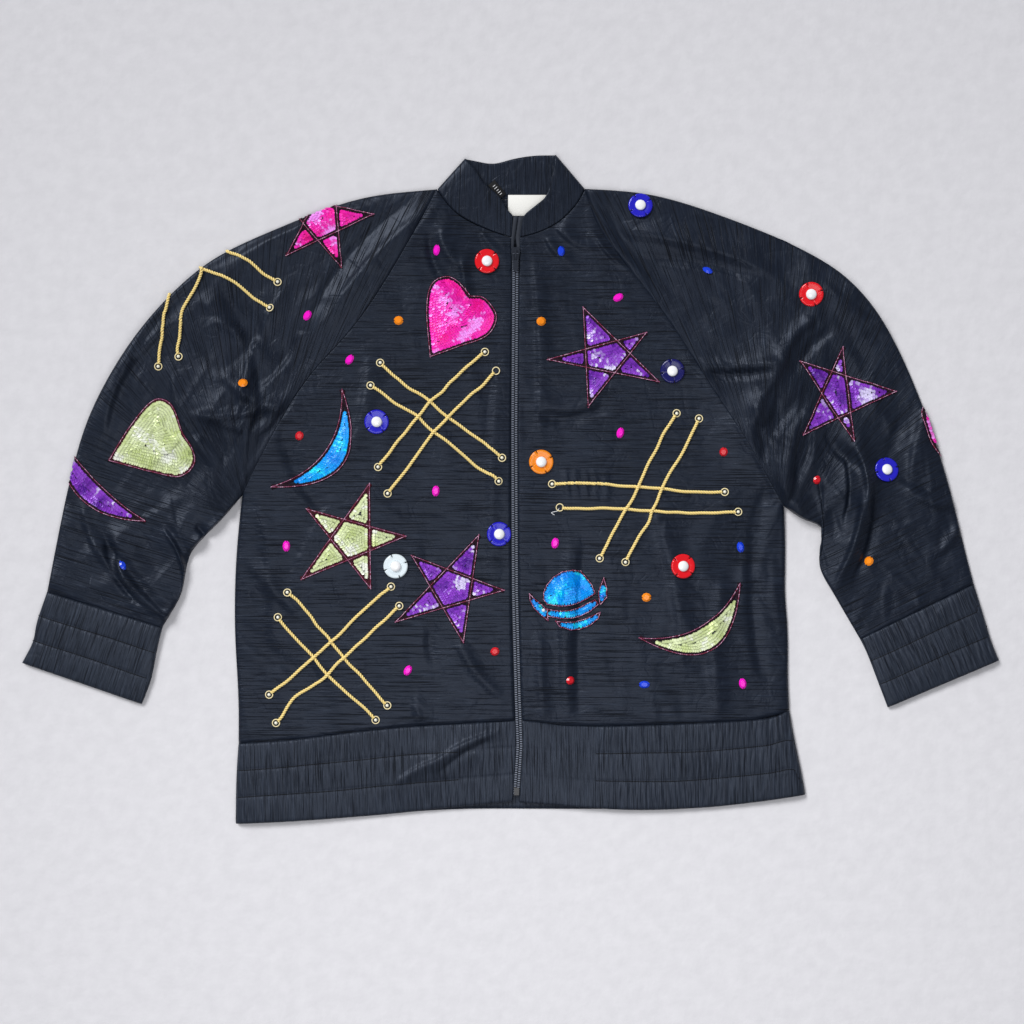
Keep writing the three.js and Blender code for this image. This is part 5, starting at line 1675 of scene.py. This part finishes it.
LATTICES: list[CordLattice] = [
    CordLattice("lattice_chest", [
        [(-136, 132.6), (-126, 122.7), (-115.5, 114.2), (-105, 105.5), (-94.5, 100), (-84, 92.7), (-73.5, 82.4),
         (-63, 74), (-53, 67.3), (-41.5, 58.9), (-30.5, 51.1), (-19.3, 42.7), (-8.4, 33.1)],
        [(-146, 108.7), (-135.5, 102.4), (-121.8, 90.8), (-112.4, 86.1), (-97.2, 77.2), (-91, 70.2), (-79.8, 60.4),
         (-66.7, 50.9), (-54.6, 41.1), (-34.6, 23.6), (-17.9, 14.4), (-12.1, 8.7)],
        [(-26.2, 144), (-33.2, 138.9), (-45.1, 128.2), (-62, 112.9), (-69.8, 103), (-80.3, 95.2), (-95.5, 77.4),
         (-106.1, 64.2), (-117.1, 51.1), (-129.2, 35.2), (-137.9, 23.4)],
        [(-14.4, 124.2), (-22.1, 116.7), (-29.9, 107.6), (-39.9, 99.9), (-54.6, 86.2), (-64, 76.3), (-78.8, 61),
         (-93.5, 41.9), (-104.5, 25.7), (-116, 11.4), (-128.1, -4.3)],
    ], open_ring=6, seed=1),
    CordLattice("lattice_hip", [
        [(-232.9, -108), (-220.5, -118.5), (-210.2, -130.7), (-200.9, -143.5), (-188, -158), (-174.3, -175.9),
         (-162.2, -188.8), (-149.3, -202.4), (-139.3, -214.7), (-128.3, -226.1)],
        [(-243.1, -133.7), (-235.2, -144.4), (-222.4, -158), (-205.9, -175.2), (-200.9, -182.2), (-190.9, -193.7),
         (-176.5, -208.2), (-162.2, -220.3), (-150.8, -230.5), (-140.7, -241.4)],
        [(-124.6, -101.7), (-136.5, -111.5), (-149.3, -122.3), (-162.2, -134.9), (-176.5, -149.6), (-186.6, -159.3),
         (-205.2, -175.1), (-219.5, -188.2), (-235.2, -201.7), (-252.2, -214.9)],
        [(-115.7, -121.9), (-125, -130.7), (-140.7, -145.1), (-156.5, -160.1), (-174, -175.9), (-182.3, -183.8),
         (-190.9, -193.7), (-199.5, -201.7), (-212.3, -208.8), (-222.4, -215.2), (-231, -223.9), (-235.2, -231),
         (-238.9, -238.9), (-244.9, -244.5)],
    ], seed=2),
    CordLattice("lattice_left", [
        [(44.1, 5.8), (60.9, 6.5), (90.3, 6.3), (115.8, 3.7), (135.5, 2.6), (158.9, 0.9), (180.4, -2), (201.9, -2.9),
         (225, -2.7)],
        [(52.2, -18.8), (66.9, -20.1), (104, -19.7), (121.8, -20.8), (147.2, -22.6), (174.6, -24.2), (200, -24.9),
         (215.7, -24.4), (239, -23.4)],
        [(174.5, 79.8), (168.5, 70.5), (160.8, 58.7), (153.8, 43.2), (144.1, 25.5), (137.2, 10), (129.4, -7.9),
         (119.7, -23.6), (108.9, -42.9), (100.1, -60.6), (93.9, -72.1)],
        [(198, 74.3), (192.2, 62.7), (185.2, 47), (176.4, 31.5), (166.6, 15.9), (158.9, 1.2), (153.9, -13.5),
         (149.1, -21.5), (145.2, -35.2), (135.5, -47.8), (127.6, -62.5), (120.8, -75.9)],
    ], open_ring=2, loose=[(51.5, -19.9), (49.4, -22.6), (45.1, -23.6), (43.6, -24.7), (46.7, -26.8)], seed=3),
    CordLattice("lattice_sleeve", [
        [(-250.6, 189.8), (-260.4, 195.8), (-268.4, 200), (-281.8, 212.6), (-291.2, 218.5), (-303.1, 224.5),
         (-321.8, 230.5), (-329.7, 233.6)],
        [(-346.5, 138.9), (-347.9, 147), (-346, 157.6), (-344.6, 171), (-342.6, 187.1), (-337.9, 196.5),
         (-331.3, 207.2), (-325.9, 219.1), (-321.8, 231.5)],
    ], over_edge=True, seed=4),
    CordLattice("cord_sleeve_upper", [
        [(-243.3, 217.1), (-256.4, 224.6), (-263, 230.5), (-271.1, 237.8), (-284.6, 244.7), (-296.5, 249.3),
         (-304.5, 252.5)],
    ], over_edge=True, seed=5),
    CordLattice("cord_sleeve_lower", [
        [(-368, 128.8), (-366.7, 141.6), (-364.7, 157.7), (-362.7, 173.8), (-361.2, 187.1), (-358.1, 197.7),
         (-354.9, 204.2)],
    ], over_edge=True, seed=6),
]


@dataclass
class RoundJewel:
    """A dished, notched disc of cast plastic with a pearl in its middle."""

    node: str
    slot: str
    colour: int
    x: float
    y: float
    turn: float
    radius_mm: float = 12.8
    pearl_mm: float = 5.6
    notches: int = 4

    def build(self, top: Top) -> None:
        """Builds the disc and its pearl on the cloth.

        Args:
            top: The cloth's upper face.
        """
        matrix = top.frame_at(self.x, self.y, math.radians(self.turn), 0.9)
        disc = self.disc()
        disc.transform(matrix)
        sew_one(self.node + "_disc", disc, self.colour, "cast", self.slot, (self.node,))
        bm = bmesh.new()
        bmesh.ops.create_uvsphere(bm, u_segments=28, v_segments=14, radius=self.pearl_mm * MM)
        bmesh.ops.scale(bm, verts=bm.verts, vec=(1, 1, 0.45))
        bmesh.ops.translate(bm, verts=bm.verts, vec=(0, 0, 2.6 * MM))
        bmesh.ops.transform(bm, matrix=matrix, verts=bm.verts)
        sew_one(self.node + "_pearl", from_bmesh(bm, "pearl"), 0xFCFDFF, "pearl", self.slot)
        ties = [
            matrix @ Matrix.Rotation(2 * math.pi * i / self.notches, 4, "Z")
            @ Matrix.Translation(Vector((self.radius_mm - 1.2, 0, 2.0)) * MM)
            for i in range(self.notches)
        ]
        sew_copies(self.node + "_ties", stitch_template(4.0, 1.1), ties, 0x0A0A12, "thread", self.slot)

    def disc(self) -> bpy.types.Mesh:
        """The dished disc with its notches, about its own origin."""
        bm = bmesh.new()
        radius = self.radius_mm
        outline = [(0.4, 0.2), (radius * 0.97, 0.2), (radius, 0.9), (radius * 0.97, 1.9), (radius * 0.86, 2.1),
                   (radius * 0.62, 1.5), (radius * 0.4, 1.3), (0.4, 1.3)]
        points = [bm.verts.new((r * MM, 0, z * MM)) for r, z in outline]
        edges = [bm.edges.new(pair) for pair in zip(points, points[1:] + points[:1])]
        bmesh.ops.spin(bm, geom=points + edges, cent=(0, 0, 0), axis=(0, 0, 1), angle=2 * math.pi, steps=96,
                       use_merge=True)
        bmesh.ops.remove_doubles(bm, verts=bm.verts, dist=0.01 * MM)
        for vertex in bm.verts:
            angle = math.degrees(math.atan2(vertex.co.y, vertex.co.x)) % (360 / self.notches)
            reach = math.hypot(vertex.co.x, vertex.co.y) / MM
            if angle < 4.5 and reach > radius * 0.78 and vertex.co.z > 0.5 * MM:
                vertex.co.z -= 1.2 * MM
        bmesh.ops.recalc_face_normals(bm, faces=bm.faces)
        return from_bmesh(bm, "disc")


JEWELS: list[RoundJewel] = [
    RoundJewel("round_blue_shoulder", "jewel_blue", 0x1E1ABE, 136.5, 297, 30),
    RoundJewel("round_red_neck", "jewel_red", 0xE60C1C, -24.2, 238.9, 45),
    RoundJewel("round_red_sleeve", "jewel_red", 0xE60C1C, 315, 204.2, 20),
    RoundJewel("round_navy", "jewel_navy", 0x08085A, 170.1, 124, 10),
    RoundJewel("round_blue_chest", "jewel_blue", 0x1E1ABE, -139.7, 70.9, 35),
    RoundJewel("round_orange", "jewel_orange", 0xF58A0C, 32.6, 28.9, 25),
    RoundJewel("round_blue_elbow", "jewel_blue", 0x1E1ABE, 393.8, 20.5, 15),
    RoundJewel("round_blue_zip", "jewel_blue", 0x1E1ABE, -11.6, -46.7, 40),
    RoundJewel("round_white", "jewel_white", 0xDCE8EE, -119.7, -80.3, 20),
    RoundJewel("round_red_hip", "jewel_red", 0xE60C1C, 180.6, -80.3, 50),
]


@dataclass
class GemSet:
    """Small faceted stones of one colour and outline, each held by two short stitches."""

    name: str
    slot: str
    colour: int
    long_mm: float
    wide_mm: float
    places: list[tuple[float, float, float]]  # x, y and turn in degrees

    def build(self, top: Top) -> None:
        """Sets the stones on the cloth.

        Args:
            top: The cloth's upper face.
        """
        stones = [top.frame_at(x, y, math.radians(turn), 0.2) for x, y, turn in self.places]
        sew_copies(self.name, self.stone(), stones, self.colour, "cast", self.slot, smooth=False)
        ties = []
        for x, y, turn in self.places:
            angle = math.radians(turn)
            for end in (-1, 1):
                dx, dy = math.cos(angle), math.sin(angle)
                reach = end * self.long_mm * 0.42
                ties.append(top.frame_at(x + dx * reach, y + dy * reach, angle, 1.3))
        ties = [tie for tie in ties if tie is not None]
        sew_copies(self.name + "_ties", stitch_template(2.6, 0.7), ties, 0x14141A, "thread", self.slot)

    def stone(self) -> bpy.types.Mesh:
        """One stone: a low faceted dome with a flat table."""
        bm = bmesh.new()
        made = bmesh.ops.create_cone(
            bm, cap_ends=True, cap_tris=False, segments=10, radius1=0.5, radius2=0.26, depth=1.0
        )
        bmesh.ops.translate(bm, verts=made["verts"], vec=(0, 0, 0.5))
        bmesh.ops.scale(bm, verts=bm.verts, vec=(self.long_mm * MM, self.wide_mm * MM, 2.1 * MM))
        rim = [edge for edge in bm.edges if all(v.co.z < 0.1 * MM for v in edge.verts)]
        bmesh.ops.bevel(bm, geom=rim, offset=0.5 * MM, segments=1, profile=0.5, affect="EDGES", material=-1)
        return from_bmesh(bm, "stone")


GEMS: list[GemSet] = [
    GemSet("gems_magenta", "sequins_pink", 0xFF08D0, 12.5, 8.5, [
        (-76.7, 250.4, 80), (-212, 182, 60), (-168, 136, 55), (-77.7, -1.6, 85), (-107, -189.5, 60),
        (113.4, 201, 30), (115.5, 59.3, 75), (47.3, -56.2, 80), (243.6, -203.2, 100), (-234, -59.3, 90),
    ]),
    GemSet("gems_blue", "jewel_blue", 0x1240DC, 12.5, 8.5, [
        (-405.3, -79.3, 100), (53.6, 249.4, 85), (206.9, 229.4, -40), (241.5, -60.4, 100), (140.7, -204.2, 0),
    ]),
    GemSet("gems_orange", "jewel_orange", 0xFF9010, 11, 10.2, [
        (-116.6, 176.9, 0), (32.6, 175.9, 0), (142.8, -112.9, 0), (375.9, -75.1, 60), (-278.3, 110.8, 20),
    ]),
    GemSet("gems_red", "jewel_red", 0xD41424, 10.5, 9.5, [
        (-15.8, -169.6, 30), (63, -200, 10), (-220.5, 56.2, 60), (223.7, 39.4, 80), (321.3, 10, 40),
    ]),
]


@dataclass
class Zip:
    """A moulded zip: two rows of interlocked teeth on woven tapes, with its slider, box and pull tab."""

    bottom: float = -318
    slider: float = 240
    chain_top: float = 252  # above it the fronts close over the teeth
    top: float = 286
    tape_end: float = -321
    tape_mm: float = 12  # width of a tape
    pitch_mm: float = 2.4
    centre: list[tuple[float, float]] = field(default_factory=lambda: [
        (-327, 6), (-269, 10), (-216, 8.1), (-108, 5.3), (60, 4.6), (247, 5.8), (264, 5.3), (287, 8.8),
    ])

    def middle(self, y: float) -> float:
        """The chain's middle at a height, mm."""
        heights, places = zip(*self.centre)
        return float(np.interp(y, heights, places))

    def build(self) -> None:
        """Builds the tapes and the teeth, and dresses the hard pieces."""
        for side, sign in (("right", -1), ("left", 1)):
            self.tape(side, sign)
            self.teeth(side, sign)
        for node, hard in (("zip_slider", LACQUERED_METAL), ("pull_tab", LACQUERED_METAL), ("zip_box", MOULDED_BOX)):
            self.dress(node, hard)

    def apart(self, y: float) -> float:
        """How far each half stands from the middle at a height, mm."""
        return float(np.interp(y, (247, 256, 264, 287), (0.0, 1.6, 0.15, 0.4)))

    def lift(self, y: float) -> float:
        """How much the collar lifts the chain, mm."""
        return 2.6 * min(1.0, max(0.0, (y - 264) / 22))

    def tape(self, side: str, sign: int) -> None:
        """The woven tape that carries one row of teeth.

        Args:
            side: The wearer's side.
            sign: Its direction along X.
        """
        bm = bmesh.new()
        bmesh.ops.create_grid(bm, x_segments=4, y_segments=120, size=0.5)
        for vertex in bm.verts:
            y = self.tape_end + (vertex.co.y + 0.5) * (self.top - self.tape_end)
            out = (vertex.co.x + 0.5) * self.tape_mm
            x = self.middle(y) + sign * ((0.25 if y < self.slider else 0.02) + self.apart(y) + out)
            z = UPPER - 1.6 + self.lift(y) / 2 if out > 4 else UPPER - 0.6 + self.lift(y)
            vertex.co = Vector((x, y, z)) * MM
        bmesh.ops.recalc_face_normals(bm, faces=bm.faces)
        bmesh.ops.solidify(bm, geom=bm.faces, thickness=0.8 * MM)
        bmesh.ops.recalc_face_normals(bm, faces=bm.faces)
        sew_one("zip_tape_" + side, from_bmesh(bm, "tape"), 0x2E333D, "thread", "zip_teeth", ("zip_" + side,))

    def teeth(self, side: str, sign: int) -> None:
        """One row of teeth, each turned a little towards the other row.

        Args:
            side: The wearer's side.
            sign: Its direction along X.
        """
        frames = []
        y = self.bottom + (self.pitch_mm / 2 if sign > 0 else 0)
        while y < self.chain_top:
            parted = y > self.slider
            inner = 0.15 if not parted else self.apart(y) + 0.2
            x = self.middle(y) + sign * (inner + 1.5)
            z = UPPER + 0.25 + self.lift(y)
            turn = 0 if sign > 0 else math.pi
            frames.append(Matrix.Translation(Vector((x, y, z)) * MM) @ Matrix.Rotation(turn, 4, "Z"))
            y += self.pitch_mm
        sew_copies("zip_teeth_" + side, self.tooth(), frames, 0x747B8A, "acetal", "zip_teeth", smooth=False)

    @staticmethod
    def tooth() -> bpy.types.Mesh:
        """One tooth: a bevelled block whose head points to -X."""
        bm = bmesh.new()
        bmesh.ops.create_cube(bm, size=1)
        bmesh.ops.scale(bm, verts=bm.verts, vec=(2.7 * MM, 1.25 * MM, 1.8 * MM))
        for vertex in bm.verts:
            if vertex.co.x < 0:
                vertex.co.y *= 0.8
        bmesh.ops.bevel(bm, geom=list(bm.edges), offset=0.3 * MM, segments=1, profile=0.5, affect="EDGES",
                        material=-1)
        return from_bmesh(bm, "tooth")

    @staticmethod
    def dress(node: str, hard: Scuffed) -> None:
        """Gives a hard piece of the construction its finish.

        Args:
            node: The construction's node.
            hard: The finish.
        """
        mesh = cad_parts[node].data
        mesh.materials.clear()
        mesh.materials.append(hard.material(node))
        log.info("%s: dressed as %s", node, hard.name)


@dataclass
class Labels:
    """The blank satin label and the folded size tag at the back of the neck."""

    def build(self) -> None:
        """Builds both."""
        self.neck_label()
        self.size_tag()

    def neck_label(self) -> None:
        """The satin label, with soft edges."""
        label = self.copy_of("neck_label", "label")
        sew_one("satin_label", label, 0xF4F3EE, "satin", "label_satin", ("neck_label",))

    def size_tag(self) -> None:
        """The black tag with a few plain white bars."""
        sew_one("woven_tag", self.copy_of("size_tag", "tag"), 0x0B0B0E, "thread", "tag_cloth", ("size_tag",))
        low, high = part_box("size_tag")
        centre = (low + high) / 2
        turn = math.radians(40)
        bar_mm = 5
        bars = []
        for along, width in ((-6, 4.2), (-3.4, 5), (-0.8, 3.6), (2.2, 5.2), (5, 4.4)):
            spot = centre + Vector((-math.sin(turn) * along, math.cos(turn) * along, 0)) * MM
            spot.z = high.z + 0.05 * MM
            stretch = Matrix.Diagonal((width / bar_mm, 1, 1, 1))
            bars.append(Matrix.Translation(spot) @ Matrix.Rotation(turn, 4, "Z") @ stretch)
        sew_copies("tag_bars", stitch_template(bar_mm, 0.9), bars, 0xE8E8EA, "thread", "tag_cloth")

    @staticmethod
    def copy_of(node: str, name: str) -> bpy.types.Mesh:
        """A merged, softly bevelled copy of a node's mesh."""
        bm = bmesh.new()
        bm.from_mesh(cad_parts[node].data)
        bmesh.ops.remove_doubles(bm, verts=bm.verts, dist=0.02 * MM)
        bmesh.ops.dissolve_limit(bm, angle_limit=math.radians(2), verts=bm.verts, edges=bm.edges)
        bmesh.ops.bevel(bm, geom=list(bm.edges), offset=0.3 * MM, segments=2, profile=0.5, affect="EDGES",
                        material=-1)
        return from_bmesh(bm, name)


@dataclass
class Studio:
    """The pale surface, soft light and the camera over the garment."""

    view_mm: float = 1075.2  # width of the picture at the surface
    centre_mm: tuple[float, float] = (2.1, -23.6)
    lens_mm: float = 85
    sensor_mm: float = 36

    def build(self) -> None:
        """Sets the surface, the lights, the sky and the camera."""
        self.floor()
        self.lights()
        self.camera()

    def floor(self) -> None:
        """The surface, wide enough to fill every view."""
        bm = bmesh.new()
        bmesh.ops.create_grid(bm, x_segments=1, y_segments=1, size=6)
        mesh = from_bmesh(bm, "floor")
        floor = bpy.data.objects.new("floor", mesh)
        bpy.context.scene.collection.objects.link(floor)
        floor.location.z = -0.2 * MM
        mesh.materials.append(Plaster().material())

    def lights(self) -> None:
        """A wide soft light from the upper left, a panel over the hem, and a pale sky that fills the shade."""
        panel = bpy.data.lights.new("panel", "AREA")
        panel.size = 0.8
        panel.energy = 4.2
        over_hem = bpy.data.objects.new("panel", panel)
        over_hem.location = (-0.05, -0.36, 1.1)
        over_hem.visible_camera = False
        bpy.context.scene.collection.objects.link(over_hem)
        sun = bpy.data.lights.new("key", "SUN")
        sun.angle = math.radians(24)
        sun.energy = 2.25
        lamp = bpy.data.objects.new("key", sun)
        bpy.context.scene.collection.objects.link(lamp)
        lamp.rotation_euler = Vector((0.62, -0.72, -0.95)).to_track_quat("-Z", "Y").to_euler()
        world = bpy.data.worlds.new("studio")
        bpy.context.scene.world = world
        world.use_nodes = True
        sky = world.node_tree.nodes["Background"]
        sky.inputs["Color"].default_value = linear(0xEEF0F6)
        sky.inputs["Strength"].default_value = 0.31
        bpy.context.scene.view_settings.view_transform = "Standard"

    def camera(self) -> None:
        """The camera, straight over the middle of the picture."""
        data = bpy.data.cameras.new("over")
        data.lens = self.lens_mm
        data.sensor_width = self.sensor_mm
        camera = bpy.data.objects.new("over", data)
        bpy.context.scene.collection.objects.link(camera)
        x, y = self.centre_mm
        height = self.view_mm * self.lens_mm / self.sensor_mm
        camera.location = Vector((x, y, height)) * MM
        bpy.context.scene.camera = camera


def main() -> None:
    """Builds the garment from its cloth outwards, then the studio round it."""
    logging.basicConfig(level=logging.INFO, format="%(message)s")
    for piece in CLOTH_PIECES:
        piece.build()
    top = Top([piece.sheet_mesh for piece in CLOTH_PIECES if piece.layer is not Layer.LOWER])
    for piece in CLOTH_PIECES:
        if isinstance(piece, GatheredBand):
            piece.stitch(top)
    for group in (SHAPES, LATTICES, JEWELS, GEMS):
        for sewn in group:
            sewn.build(top)
    Zip().build()
    Labels().build()
    Studio().build()


if __name__ == "__main__":
    main()
